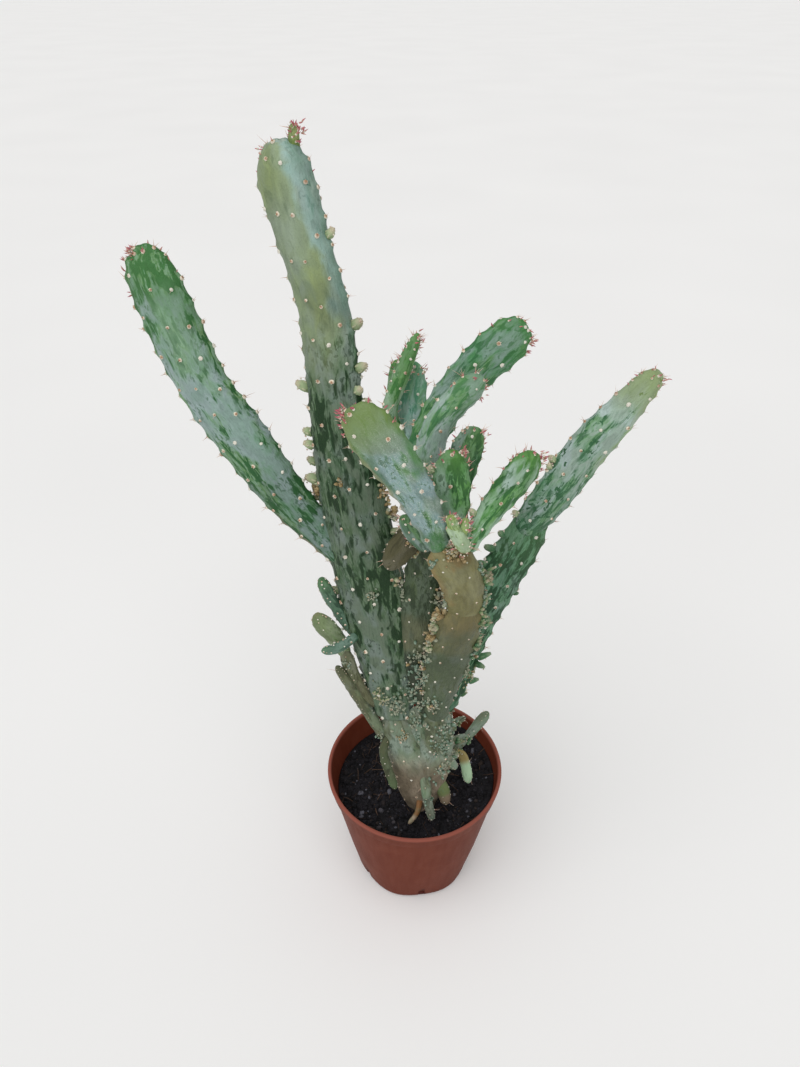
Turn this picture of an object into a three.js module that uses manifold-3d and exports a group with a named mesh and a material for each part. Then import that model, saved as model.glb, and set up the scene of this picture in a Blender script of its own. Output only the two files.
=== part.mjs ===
// A potted paddle cactus: a thin plastic nursery pot, its soil, and a plant of flat stem segments (pads).
// Millimetres, +Z up. The origin is the middle of the pot's underside, on the surface that it stands on.
// The plant's front is -Y, and +X is to the right seen from there.
import * as THREE from "three";
import { mergeVertices } from "three/addons/utils/BufferGeometryUtils.js";
import Module from "manifold-3d";

const wasm = await Module();
wasm.setup();

// Pot: a 10.5 cm nursery pot.
const RIM_RADIUS = 52.5;
const POT_HEIGHT = 85.5;
const BASE_RADIUS = 36.4;
const WALL = 1.5;
const FLOOR = 2;
const COLLAR_HEIGHT = 9;
const COLLAR_STEP = 0.9;
const RIM_FLARE = 2.4;
const BASE_CHAMFER = 2.2;
const FLUTE_DEPTH = 1.1;
const FLUTE_HEIGHT = 30;
const DRAIN_COUNT = 6;
const DRAIN_WIDTH = 4;
const DRAIN_HEIGHT = 9;
const DRAIN_TURN = 9;

// Soil.
const SOIL_LEVEL = 68;
const SOIL_LUMP = 1.6;
const SOIL_CROWN = 1.2;

// The smallest step that a cut edge keeps.
const FINEST_STEP = 0.08;

// Gap between two pieces that touch.
const GAP = 0.3;

// Areoles: felt cushions in rows along the margins and over both faces, each with its spines.
const MARGIN_STEP = 26;
const FACE_STEP = 52;
const AREOLE_RADIUS = 1.3;
const AREOLE_FLATNESS = 0.8;
const SPINE_LENGTH = 4.2;
const SPINE_RADIUS = 0.4;
const SPINE_SINK = 1;
const SPINE_LEAN = 0.9;
const CLEAR_OF_NEIGHBOUR = 2.2;
const LOWEST_AREOLE = 6;

// Where the rows begin, as a share of the segment, and how far they stand from a face's middle, in degrees.
const FIRST_AREOLE = 0.12;
const ROW_SPREAD = 32;

// A shoot is a small round segment, with few faces.
const SHOOT_SIDES = 6;
const SHOOT_ROWS = 4;
const SHOOT_AREOLE_STEP = 9;

// A bud is an egg: how much of its length lies under the skin, and how far it leans towards the tip.
const BUD_SINK = 0.3;
const BUD_LEAN = 0.5;

// Section of a pad: 2 is an ellipse, and less draws the margins out to a ridge.
const SECTION_POWER = 1.85;

// How far the rings of a segment crowd towards its round ends, from 0 to 1.
const END_CROWDING = 0.8;

// How long a segment's rounded root and tip are, as shares of its width there.
const ROOT_ROUNDING = 0.25;
const TIP_ROUNDING = 0.6;

const GREEN = "#6f9a7c";
const OLIVE = "#8a9a6e";
const TAN = "#80785a";
const DARK = "#4c6c52";
const PALE = "#a3bfae";
const CORK = "#7d6e5a";
const POT_RED = "#7b4238";
const SOIL_BLACK = "#1c1b20";

// Each body is a stem segment. Its points run from root to tip as x, y, z and the width there.
// face is the way that its flat side looks, in degrees from -Y towards +X.
// A bud is its place along the segment, its angle round it (0 and 180 are the margins), length and radius.
const NODES = [
  {
    name: "trunk_base",
    colour: CORK,
    bodies: [
      {
        points: [
          [4, -12, 34, 9], [4, -15, 66, 15], [3, -18, 82, 23], [1, -19, 98, 27], [-6, -19, 130, 22],
          [-10, -18, 154, 21],
        ],
        thick: 20, face: -10, sides: 10, rows: 10,
      },
      {
        points: [[6, -19, 78, 16], [10, -20, 106, 20], [12, -21, 135, 19], [11, -25, 161, 15]],
        thick: 19, face: 10, sides: 10, rows: 9,
        buds: [
          [0.45, 70, 5, 2.2], [0.55, 30, 5, 2.4], [0.62, 100, 4, 2], [0.7, 60, 5, 2.3],
          [0.78, 110, 4, 2.2], [0.85, 20, 5, 2.5], [0.9, 80, 5, 2.2], [0.93, 140, 4, 2.2],
        ],
      },
      { points: [[9, -19, 96, 7], [30, 5, 103, 6], [38.5, 10, 113, 7.6], [43.3, 13, 119, 7.6]],
        thick: 8, shoot: true },
      { points: [[10, -18, 106, 8], [25, -1, 111, 8], [32, 1, 108, 7]], thick: 10, shoot: true },
      { points: [[11, -18, 116, 7], [21, 2, 119, 7], [30, 6, 121, 6]], thick: 9, shoot: true },
      { points: [[12, -18, 108, 6], [26, -4, 108, 6], [30, -8, 96, 7], [32, -14, 86, 7]],
        thick: 9, shoot: true },
      { points: [[11, -17, 118, 5], [18, -18, 113, 7], [24, -20, 107, 5]], thick: 8, shoot: true },
      { points: [[9, -20, 104, 6], [16, -22, 93, 8], [19, -25, 81, 6]], thick: 10, shoot: true },
      { points: [[6, -22, 98, 5.5], [8, -29, 89, 5.5], [11, -34, 78, 4.6]], thick: 7, shoot: true },
      { points: [[5, -22, 108, 5], [7, -30, 101, 6], [7, -31, 94, 5]], thick: 8, shoot: true },
      { points: [[4, -22, 86, 4], [2, -30, 79, 3], [-3, -34, 74, 2.6]], thick: 4, shoot: true },
    ],
  },
  {
    name: "main_stem",
    colour: OLIVE,
    bodies: [{
      points: [
        [-10, -17, 147, 17], [-16, -16, 186, 29], [-20, -14, 217, 35], [-25, -11, 249, 36],
        [-30, -8, 281, 32], [-35, -4, 315, 26.5], [-37.5, 0, 341, 23.5], [-40, 4, 365, 22],
        [-46.6, 8, 390, 21.8], [-52.8, 12, 414, 22.8], [-55.3, 14, 427, 20],
      ],
      thick: 20, face: -18, sides: 10, rows: 18,
      buds: [
        [0.87, 0, 5, 2.2], [0.75, 0, 6, 2.5], [0.69, 0, 6, 2.6], [0.66, 20, 5, 2.3],
        [0.64, 0, 5, 2], [0.66, 180, 8, 2.8], [0.59, 180, 6, 2.5], [0.57, 170, 6, 2.3],
        [0.54, 180, 6, 2.3], [0.51, 175, 7, 2.5], [0.48, 180, 9, 4], [0.44, 165, 6, 2.4],
        [0.29, 180, 5, 2], [0.25, 180, 6, 2], [0.42, 5, 7, 4], [0.45, 0, 5, 3],
        [0.39, 10, 6, 3.2], [0.33, 20, 6, 3],
      ],
    }, {
      points: [[-49.5, 11, 416, 4.5], [-48.6, 11.5, 425, 4.8], [-48.3, 12, 433, 4.6]],
      thick: 5, shoot: true,
    }],
  },
  {
    name: "left_pad",
    colour: GREEN,
    bodies: [{
      points: [
        [-36, -9, 247, 10], [-50, -5, 265, 19], [-61.5, -3, 279, 22.5], [-80.5, 2, 307.8, 26], [-94, 4, 330, 24.5],
        [-104, 6, 359, 24.5], [-109, 6, 378, 22.5], [-110, 6, 390, 17],
      ],
      thick: 14, face: -6, sides: 10, rows: 13,
    }],
  },
  {
    name: "right_pad_lower",
    colour: DARK,
    bodies: [
      {
        points: [
          [11, -15, 126, 12], [13.5, -8, 140, 14], [19.5, -4, 163, 20], [27.5, 2, 189.5, 22],
          [40, 8, 220.5, 24], [51, 12, 243, 23], [57, 15, 261, 18],
        ],
        thick: 14, face: 10, sides: 10, rows: 13,
        buds: [
          [0.42, 0, 10, 2], [0.39, 10, 8, 2], [0.3, 0, 8, 1.8], [0.22, 0, 5, 1.4],
          [0.75, 180, 5, 2.2], [0.82, 180, 7, 2.4], [0.89, 180, 4, 2], [0.68, 0, 4, 1.4],
        ],
      },
    ],
  },
  {
    name: "right_pad_upper",
    colour: PALE,
    bodies: [{
      points: [
        [52.5, 13, 252, 17], [67, 16, 273.8, 21.5], [79.5, 20, 294.5, 22], [92.6, 22, 312.5, 18.2],
        [103.2, 24, 326.8, 12.5], [107, 24, 331.5, 9.5],
      ],
      thick: 13, face: 12, sides: 10, rows: 11,
      buds: [[0.1, 180, 4, 2], [0.42, 180, 5, 2], [0.38, 175, 4, 1.8]],
    }],
  },
  {
    name: "front_pad_lower",
    colour: OLIVE,
    bodies: [{
      points: [
        [11, -25, 154, 10], [13, -30, 189, 19], [17, -34, 217, 22], [20, -38, 240, 20], [20, -39, 247, 17],
      ],
      thick: 14, face: 8, sides: 10, rows: 9,
      buds: [
        [0.9, 175, 5, 2.3], [0.8, 180, 5, 2.3], [0.7, 178, 4, 2.2], [0.62, 5, 5, 2.4],
        [0.72, 0, 6, 2.5], [0.86, 0, 6, 2.6], [0.94, 5, 5, 2.2], [0.5, 170, 4, 2],
        [0.3, 160, 4, 2.2], [0.2, 130, 4, 2.2],
      ],
    }],
  },
  {
    name: "front_pad_upper",
    colour: TAN,
    bodies: [{
      points: [
        [20.5, -38, 240, 15.5], [21.5, -40, 251, 17], [19.5, -42, 262, 18.7], [16, -43.5, 271, 19.6],
        [12.3, -44.5, 279, 19.3], [9.6, -45, 285, 16.6],
      ],
      thick: 14, face: 6, sides: 10, rows: 8,
      buds: [
        [0.3, 0, 5, 2.4], [0.48, 0, 5, 2.4], [0.6, 5, 6, 2.6], [0.1, 180, 4, 2.2], [0.96, 60, 4, 2.3],
      ],
    }],
  },
  {
    name: "back_stem",
    colour: DARK,
    bodies: [{
      points: [
        [7, -23, 156, 10], [3, -22, 180, 15], [0, -21, 201, 17], [1, -22, 222, 18], [3, -22, 247, 18],
        [4, -22, 267, 16], [4, -21, 286, 13],
      ],
      thick: 12, face: -10, sides: 8, rows: 10,
    }],
  },
  {
    name: "centre_pad",
    colour: PALE,
    bodies: [{
      points: [
        [9, -45, 279.5, 7], [4.8, -48, 297, 13], [-2.2, -50, 314, 15.8], [-13.2, -52, 333, 20.2],
        [-20, -53, 345, 18.5], [-24, -53, 352, 15],
      ],
      thick: 12, face: -4, sides: 10, rows: 10,
    }],
  },
  {
    name: "centre_small_pad",
    colour: DARK,
    bodies: [{
      points: [[5, -43, 279, 6], [-1.7, -44, 288.5, 8.3], [-5.8, -45, 299, 6.5]],
      thick: 6, face: -20, sides: 8, rows: 6,
    }],
  },
  {
    name: "bud_sprout",
    colour: GREEN,
    bodies: [
      { points: [[12.4, -50, 298.5, 5], [17.1, -50, 290.3, 6.2], [20.5, -48.5, 283, 5.6]],
        thick: 5.4, shoot: true },
      { points: [[15.4, -50, 293.7, 3.8], [14, -51, 298, 4.4], [12.5, -52, 304, 4.6]],
        thick: 4.2, shoot: true },
      { points: [[17.6, -49, 291, 3.4], [18.6, -49, 296, 3.8], [19.1, -49, 300.5, 3.9]],
        thick: 3.6, shoot: true },
    ],
  },
  {
    name: "right_sprout",
    colour: GREEN,
    bodies: [{
      points: [
        [19, -43, 277, 6.5], [27, -40, 293, 10], [35, -36, 304, 13.3], [43, -33, 315, 13.5],
        [46, -31, 321.5, 11],
      ],
      thick: 8, face: 8, sides: 10, rows: 9,
      buds: [[0.25, 180, 5, 2], [0.35, 175, 4, 1.8]],
    }],
  },
  {
    name: "middle_pad",
    colour: GREEN,
    bodies: [{
      points: [[16, -40, 277, 7], [14, -37, 302, 14], [13, -35, 313, 14.5], [13, -34, 323, 9]],
      thick: 9, face: 0, sides: 10, rows: 8,
      buds: [[0.8, 180, 4, 1.8]],
    }],
  },
  {
    name: "middle_pad_behind",
    colour: DARK,
    bodies: [{
      points: [[15, -35, 290, 7], [16, -26, 303, 13], [19, -23, 315, 14], [22.5, -20, 326, 10]],
      thick: 9, face: 10, sides: 10, rows: 8,
    }],
  },
  {
    name: "upper_pad_front",
    colour: PALE,
    bodies: [{
      points: [
        [5, -25, 275, 7], [2, -23, 299, 9.5], [3.2, -20, 312, 12], [7.1, -16, 324.4, 13.2],
        [15.1, -11, 333.4, 13.2], [22.4, -8, 339.3, 12], [25.6, -6, 341.6, 9.4],
      ],
      thick: 9, face: 22, sides: 10, rows: 10,
    }],
  },
  {
    name: "upper_pad_back",
    colour: GREEN,
    bodies: [{
      points: [
        [4, -18, 272, 8], [0, -10, 300, 15], [9, 0, 322, 17], [24, 8, 339, 20], [37, 14, 349, 21],
        [46, 18, 354, 16],
      ],
      thick: 12, face: 10, sides: 10, rows: 11,
    }],
  },
  {
    name: "pale_pad",
    colour: PALE,
    bodies: [{
      points: [
        [-1, -5, 302, 7], [-6, 2, 312, 14], [-5, 6, 323, 16], [-3, 8, 333, 12], [-2, 8, 341, 6],
      ],
      thick: 9, face: -15, sides: 10, rows: 8,
    }],
  },
  {
    name: "narrow_pad",
    colour: GREEN,
    bodies: [
      {
        points: [
          [-7, 1, 307, 6], [-11.5, -2, 316, 7], [-13.6, -4.5, 325, 7], [-9.6, -3, 336, 7.8],
          [-6.3, -1, 345.6, 7], [-3.5, 0, 352.6, 5.4], [-1.5, 1, 357.4, 4],
        ],
        thick: 6.5, face: 30, sides: 8, rows: 9,
      },
      { points: [[-12.2, -2.5, 325, 4.5], [-12, 0, 331, 5.2], [-11, 2, 338, 5.5], [-9.8, 3.5, 344.7, 4.6]],
        thick: 4.4, shoot: true },
    ],
  },
  {
    name: "brown_pad",
    colour: TAN,
    bodies: [{
      points: [[4, -24, 280, 7], [-3, -27, 275, 12], [-9, -29, 267, 12], [-14, -30, 259, 7]],
      thick: 7, face: -5, sides: 8, rows: 6,
      buds: [[0.4, 90, 4, 2], [0.6, 200, 5, 2.4], [0.75, 190, 5, 2.2]],
    }],
  },
  {
    name: "side_stalk",
    colour: CORK,
    bodies: [{
      points: [[-17, -17, 156, 6], [-25, -19, 164, 9], [-31, -19, 178, 9], [-35, -17, 196, 8]],
      thick: 9, shoot: true,
    }],
  },
  {
    name: "side_pad",
    colour: OLIVE,
    bodies: [{
      points: [[-34, -17, 190, 6], [-39, -15, 201, 11], [-45, -16, 211, 13], [-49, -17, 218, 10]],
      thick: 9, face: -5, sides: 8, rows: 7,
    }],
  },
  {
    name: "side_shoot_upper",
    colour: GREEN,
    bodies: [{
      points: [[-30, -14, 203, 5], [-37, -12, 216, 7], [-42, -11, 227, 7.5], [-45, -11, 236, 6.5]],
      thick: 8, shoot: true,
    }],
  },
  {
    name: "side_shoot_lower",
    colour: DARK,
    bodies: [{
      points: [[-29, -17, 207, 4], [-36, -22, 204, 5], [-42, -24, 202, 5], [-47, -24, 202, 5]],
      thick: 7, shoot: true,
    }],
  },
  {
    name: "edge_shoot_up",
    colour: PALE,
    bodies: [{
      points: [
        [-11, -19, 122, 6], [-17, -19, 132, 7.5], [-22, -19, 144, 8], [-28, -20, 160, 8],
        [-34, -21, 176, 7.5], [-39, -21, 187, 5],
      ],
      thick: 8, face: -20, sides: 8, rows: 9,
    }],
  },
  {
    name: "edge_shoot_down",
    colour: DARK,
    bodies: [{
      points: [
        [-12, -19, 136, 5], [-18, -25, 131, 6.4], [-15.5, -28, 118, 6.8], [-11.3, -30.5, 102.5, 5.4],
      ],
      thick: 6.5, shoot: true,
    }],
  },
];

// A repeatable draw between 0 and 1.
function seededDraw(seed) {
  let state = seed;
  return () => {
    state = (state * 1664525 + 1013904223) % 4294967296;
    return state / 4294967296;
  };
}

// A closed three.js geometry as a solid.
function solidOf(geometry) {
  const bare = geometry.clone();
  bare.deleteAttribute("normal");
  bare.deleteAttribute("uv");
  const merged = mergeVertices(bare, 1e-4);
  return new wasm.Manifold(new wasm.Mesh({
    numProp: 3,
    vertProperties: new Float32Array(merged.attributes.position.array),
    triVerts: new Uint32Array(merged.index.array),
  }));
}

// A solid as a three.js geometry.
function geometryOf(solid) {
  const mesh = solid.getMesh();
  const geometry = new THREE.BufferGeometry();
  geometry.setAttribute("position", new THREE.BufferAttribute(new Float32Array(mesh.vertProperties), 3));
  geometry.setIndex(new THREE.BufferAttribute(new Uint32Array(mesh.triVerts), 1));
  const flat = geometry.toNonIndexed();
  flat.computeVertexNormals();
  return flat;
}

// The largest of a solid's loose bodies.
function largestOf(solid) {
  return solid.decompose().reduce((best, next) => (next.volume() > best.volume() ? next : best));
}

function joined(solids) {
  return solids.reduce((whole, next) => whole.add(next));
}

// A segment's curve, widths, length and facing, worked out once.
function segmentOf(body) {
  const centre = new THREE.CatmullRomCurve3(
    body.points.map(([x, y, z]) => new THREE.Vector3(x, y, z)), false, "centripetal");
  const widths = new THREE.SplineCurve(body.points.map((point, i) => new THREE.Vector2(i, point[3])));
  const turn = THREE.MathUtils.degToRad(body.face ?? 0);
  return {
    ...body,
    sides: body.sides ?? SHOOT_SIDES,
    rows: body.rows ?? SHOOT_ROWS,
    centre,
    widths,
    length: centre.getLength(),
    look: new THREE.Vector3(Math.sin(turn), -Math.cos(turn), 0),
    rootRound: body.points[0][3] * ROOT_ROUNDING,
    tipRound: body.points.at(-1)[3] * TIP_ROUNDING,
  };
}

// The segment's cross-section at u, from 0 at the root to 1 at the tip.
function sectionAt(segment, u) {
  const t = segment.centre.getUtoTmapping(u);
  const along = segment.centre.getTangent(t);
  const out = segment.look.clone().addScaledVector(along, -segment.look.dot(along)).normalize();
  const width = segment.widths.getPoint(t).y;
  const fromRoot = Math.min(1, (u * segment.length) / segment.rootRound);
  const fromTip = Math.min(1, ((1 - u) * segment.length) / segment.tipRound);
  const rounding = Math.sqrt(1 - (1 - fromRoot) ** 2) * Math.sqrt(1 - (1 - fromTip) ** 2);
  return {
    middle: segment.centre.getPoint(t),
    along,
    out,
    side: new THREE.Vector3().crossVectors(along, out),
    halfWidth: (width / 2) * rounding,
    halfThick: ((segment.thick * width) / Math.hypot(segment.thick, width) / 2) * rounding,
  };
}

// A point on the segment's skin at u and an angle round it, pushed out by grow, and the way out there.
function skinPoint(segment, u, angle, grow = 0) {
  const { middle, along, out, side, halfWidth, halfThick } = sectionAt(segment, u);
  const across = Math.sign(Math.cos(angle)) * Math.abs(Math.cos(angle)) ** (2 / SECTION_POWER);
  const over = Math.sign(Math.sin(angle)) * Math.abs(Math.sin(angle)) ** (2 / SECTION_POWER);
  const point = middle.clone()
    .addScaledVector(side, (halfWidth + grow) * across)
    .addScaledVector(out, (halfThick + grow) * over);
  const normal = new THREE.Vector3()
    .addScaledVector(side, Math.cos(angle) / (halfWidth + 0.1))
    .addScaledVector(out, Math.sin(angle) / (halfThick + 0.1))
    .normalize();
  return { point, normal, along };
}

// A sphere geometry laid along the segment's curve. grow makes the larger copy that clears a neighbour.
function segmentSolid(segment, grow = 0) {
  const geometry = new THREE.SphereGeometry(1, segment.sides, segment.rows);
  geometry.deleteAttribute("normal");
  geometry.deleteAttribute("uv");
  const shell = mergeVertices(geometry, 1e-4);
  const position = shell.attributes.position;
  for (let i = 0; i < position.count; i += 1) {
    const height = THREE.MathUtils.clamp(position.getY(i), -1, 1);
    const even = 1 - Math.acos(height) / Math.PI;
    const u = THREE.MathUtils.lerp(even, (1 - Math.cos(Math.PI * even)) / 2, END_CROWDING);
    const atPole = Math.abs(height) > 1 - 1e-6;
    const angle = Math.atan2(position.getZ(i), position.getX(i));
    const { point } = atPole ? { point: segment.centre.getPointAt(u) } : skinPoint(segment, u, angle, grow);
    if (atPole) point.addScaledVector(segment.centre.getTangentAt(u), Math.sign(height) * grow);
    position.setXYZ(i, point.x, point.y, point.z);
  }
  return solidOf(shell);
}

// Whether a point lies inside a segment that is larger by margin.
function isInside(segment, point, margin) {
  const steps = Math.ceil(segment.length / 3);
  for (let k = 0; k <= steps; k += 1) {
    const { middle, along, out, side, halfWidth, halfThick } = sectionAt(segment, k / steps);
    const away = point.clone().sub(middle);
    const reach = segment.length / steps / 2 + margin;
    if (Math.abs(away.dot(along)) > reach) continue;
    const across = away.dot(side) / (halfWidth + margin);
    const over = away.dot(out) / (halfThick + margin);
    if (across * across + over * over < 1) return true;
  }
  return false;
}

// A solid of revolution about its own +Y, laid so that +Y points along the direction given.
function placed(geometry, point, direction) {
  const turn = new THREE.Quaternion().setFromUnitVectors(new THREE.Vector3(0, 1, 0), direction);
  return geometry.applyQuaternion(turn).translate(point.x, point.y, point.z);
}

// A felt cushion with its spines sunk well in.
function areole(spot, spines, draw) {
  const cushion = new THREE.SphereGeometry(AREOLE_RADIUS, 4, 2).scale(1, AREOLE_FLATNESS, 1);
  const parts = [solidOf(placed(cushion, spot.point, spot.normal))];
  for (let k = 0; k < spines; k += 1) {
    const lean = new THREE.Vector3(draw() - 0.5, draw() - 0.5, draw() - 0.1).multiplyScalar(SPINE_LEAN);
    const direction = spot.normal.clone().add(lean).normalize();
    const length = SPINE_LENGTH * (0.8 + 0.4 * draw());
    const needle = new THREE.ConeGeometry(SPINE_RADIUS, length + SPINE_SINK, 3, 1);
    needle.translate(0, (length - SPINE_SINK) / 2, 0);
    parts.push(solidOf(placed(needle, spot.point, direction)));
  }
  return joined(parts);
}

// A bud or small pup, with its root sunk in the skin.
function bud(segment, [u, degrees, length, radius], grow = 0) {
  const spot = skinPoint(segment, u, THREE.MathUtils.degToRad(degrees));
  const direction = spot.normal.clone().addScaledVector(spot.along, BUD_LEAN).normalize();
  const halfLength = (length * (1 + BUD_SINK)) / 2;
  const egg = new THREE.SphereGeometry(1, 5, 3).scale(radius + grow, halfLength + grow, radius + grow);
  egg.translate(0, length - halfLength, 0);
  return solidOf(placed(egg, spot.point, direction));
}

// The places of a segment's areoles: rows along both margins and over both faces, out to the tip.
function areoleSpots(segment) {
  const spots = [];
  const row = (degrees, start, step, spines) => {
    for (let along = start; along < segment.length - 2; along += step) {
      spots.push({ u: along / segment.length, angle: THREE.MathUtils.degToRad(degrees), spines });
    }
  };
  if (segment.shoot) {
    row(80, segment.length * 0.6, SHOOT_AREOLE_STEP, 0);
    row(250, segment.length * 0.75, SHOOT_AREOLE_STEP, 0);
    return spots;
  }
  const first = segment.length * FIRST_AREOLE;
  row(0, first, MARGIN_STEP, 1);
  row(180, first + MARGIN_STEP / 2, MARGIN_STEP, 1);
  for (const face of [90, 270]) {
    row(face - ROW_SPREAD, first + FACE_STEP / 3, FACE_STEP, 0);
    row(face + ROW_SPREAD, first + (FACE_STEP * 5) / 6, FACE_STEP, 0);
  }
  for (const degrees of [50, 230]) {
    const u = 1 - segment.tipRound / segment.length / 4;
    spots.push({ u, angle: THREE.MathUtils.degToRad(degrees), spines: 1 });
  }
  return spots;
}

// Every segment of the plant, with the node that it belongs to.
const SEGMENTS = NODES.flatMap((node) =>
  node.bodies.map((body) => ({ ...segmentOf(body), node: node.name })));

// A node's segments and buds in one solid. grow makes the larger copy that clears a neighbour.
function nodeBody(node, grow = 0) {
  const own = SEGMENTS.filter((segment) => segment.node === node.name);
  return joined(own.flatMap((segment) => [
    segmentSolid(segment, grow),
    ...(segment.buds ?? []).map((entry) => bud(segment, entry, grow)),
  ]));
}

// A node's areoles, left out where they or their spines would come near another segment.
function nodeAreoles(node, draw) {
  const parts = [];
  for (const segment of SEGMENTS.filter((one) => one.node === node.name)) {
    const others = SEGMENTS.filter((other) => other !== segment);
    const isClear = (point) => !others.some((other) => isInside(other, point, CLEAR_OF_NEIGHBOUR));
    for (const { u, angle, spines } of areoleSpots(segment)) {
      const spot = skinPoint(segment, u, angle);
      const tip = spot.point.clone().addScaledVector(spot.normal, SPINE_LENGTH);
      const isUp = spot.point.z > SOIL_LEVEL + LOWEST_AREOLE;
      const isFree = isClear(spot.point) && (spines === 0 || isClear(tip));
      if (isUp && isFree) parts.push(areole(spot, spines, draw));
    }
  }
  return parts;
}

// Outer and inner outlines of the pot, from the underside's middle up to the rim and down again.
function potProfile() {
  const taper = (RIM_RADIUS - RIM_FLARE - BASE_RADIUS) / (POT_HEIGHT - COLLAR_HEIGHT);
  const outer = (z) => BASE_RADIUS + taper * z;
  const collarFoot = POT_HEIGHT - COLLAR_HEIGHT;
  return [
    [0, 0],
    [BASE_RADIUS - BASE_CHAMFER, 0],
    [outer(BASE_CHAMFER), BASE_CHAMFER],
    [outer(FLUTE_HEIGHT), FLUTE_HEIGHT],
    [outer(collarFoot), collarFoot],
    [outer(collarFoot) + COLLAR_STEP, collarFoot + 0.6],
    [RIM_RADIUS - 0.4, POT_HEIGHT - 2.4],
    [RIM_RADIUS, POT_HEIGHT - 1],
    [RIM_RADIUS - 0.6, POT_HEIGHT],
    [RIM_RADIUS - 1.8, POT_HEIGHT],
    [RIM_RADIUS - 2.2, POT_HEIGHT - 1.2],
    [outer(FLUTE_HEIGHT) - WALL, FLUTE_HEIGHT],
    [outer(FLOOR) - WALL - FLUTE_DEPTH, FLOOR],
    [0, FLOOR],
  ];
}

// A lathe turned about +Z.
function turned(profile, segments) {
  const points = profile.map(([radius, z]) => new THREE.Vector2(radius, z));
  return new THREE.LatheGeometry(points, segments).rotateX(Math.PI / 2);
}

// The pot: a thin tapered wall with a stepped collar, shallow flutes below and drain slots at its foot.
function potSolid() {
  const lathe = turned(potProfile(), 36);
  const position = lathe.attributes.position;
  for (let i = 0; i < position.count; i += 1) {
    const z = position.getZ(i);
    const radius = Math.hypot(position.getX(i), position.getY(i));
    if (z >= FLUTE_HEIGHT || radius < BASE_RADIUS - 2 * BASE_CHAMFER) continue;
    const angle = Math.atan2(position.getY(i), position.getX(i));
    const turn = THREE.MathUtils.degToRad(DRAIN_TURN);
    const wave = 0.5 + 0.5 * Math.cos(DRAIN_COUNT * (angle + Math.PI / 2 - turn));
    const shrink = 1 - (FLUTE_DEPTH * wave * (1 - z / FLUTE_HEIGHT)) / radius;
    position.setX(i, position.getX(i) * shrink);
    position.setY(i, position.getY(i) * shrink);
  }
  let pot = solidOf(lathe);
  for (let k = 0; k < DRAIN_COUNT; k += 1) {
    const angle = THREE.MathUtils.degToRad(DRAIN_TURN - 90 + (360 / DRAIN_COUNT) * k);
    const slot = new THREE.BoxGeometry(10, DRAIN_WIDTH, DRAIN_HEIGHT * 2);
    slot.translate(BASE_RADIUS + 1, 0, 0).rotateZ(angle);
    pot = pot.subtract(solidOf(slot));
  }
  return pot;
}

// The soil: it fills the pot, with a lumpy top.
function soilSolid() {
  const facetSag = 0.2;
  const inward = GAP + facetSag;
  const inside = potProfile().slice(-4).map(([radius, z]) => new THREE.Vector2(radius - inward, z));
  const [rim, fluteTop, foot] = inside;
  const edge = THREE.MathUtils.mapLinear(SOIL_LEVEL, fluteTop.y, rim.y, fluteTop.x, rim.x);
  const rings = [0.84, 0.6, 0.3];
  const profile = [
    [0, foot.y + GAP], [foot.x - FLUTE_DEPTH, foot.y + GAP], [fluteTop.x, fluteTop.y], [edge, SOIL_LEVEL],
    ...rings.map((ring) => [edge * ring, SOIL_LEVEL + SOIL_CROWN * (1 - ring)]),
    [0, SOIL_LEVEL + SOIL_CROWN],
  ];
  const lathe = turned(profile, 30);
  const position = lathe.attributes.position;
  for (let i = 0; i < position.count; i += 1) {
    if (position.getZ(i) < SOIL_LEVEL) continue;
    const x = position.getX(i);
    const y = position.getY(i);
    const lump = Math.sin(x * 0.41 + 1) * Math.cos(y * 0.37) + 0.6 * Math.sin(x * 0.93 - y * 0.71);
    position.setZ(i, position.getZ(i) + (SOIL_LUMP / 2) * lump);
  }
  return solidOf(lathe);
}

const cactus = new THREE.Group();

function addPiece(name, solid, colour, roughness) {
  const material = new THREE.MeshStandardMaterial({ color: colour, roughness, metalness: 0 });
  const mesh = new THREE.Mesh(geometryOf(solid), material);
  mesh.name = name;
  cactus.add(mesh);
}

// Each segment is cut back by those that it grows from or passes, so that they touch without crossing.
const keepOuts = [];
for (const [index, node] of NODES.entries()) {
  let solid = joined([nodeBody(node), ...nodeAreoles(node, seededDraw(1000 + index))]);
  for (const keepOut of keepOuts) solid = solid.subtract(keepOut);
  addPiece(node.name, largestOf(solid.simplify(FINEST_STEP)), node.colour, 0.55);
  keepOuts.push(nodeBody(node, GAP));
}
addPiece("soil", largestOf(soilSolid().subtract(keepOuts[0])), SOIL_BLACK, 0.95);
addPiece("pot", potSolid(), POT_RED, 0.5);

export default cactus;
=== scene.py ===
"""A potted paddle cactus: flat variegated stems with felt areoles, spines and young buds."""
import math
import random
from typing import NamedTuple

import bmesh
import bpy
import numpy as np
from bpy.props import FloatProperty, FloatVectorProperty, IntProperty, PointerProperty
from mathutils import Matrix, Quaternion, Vector
from mathutils.bvhtree import BVHTree


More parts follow.
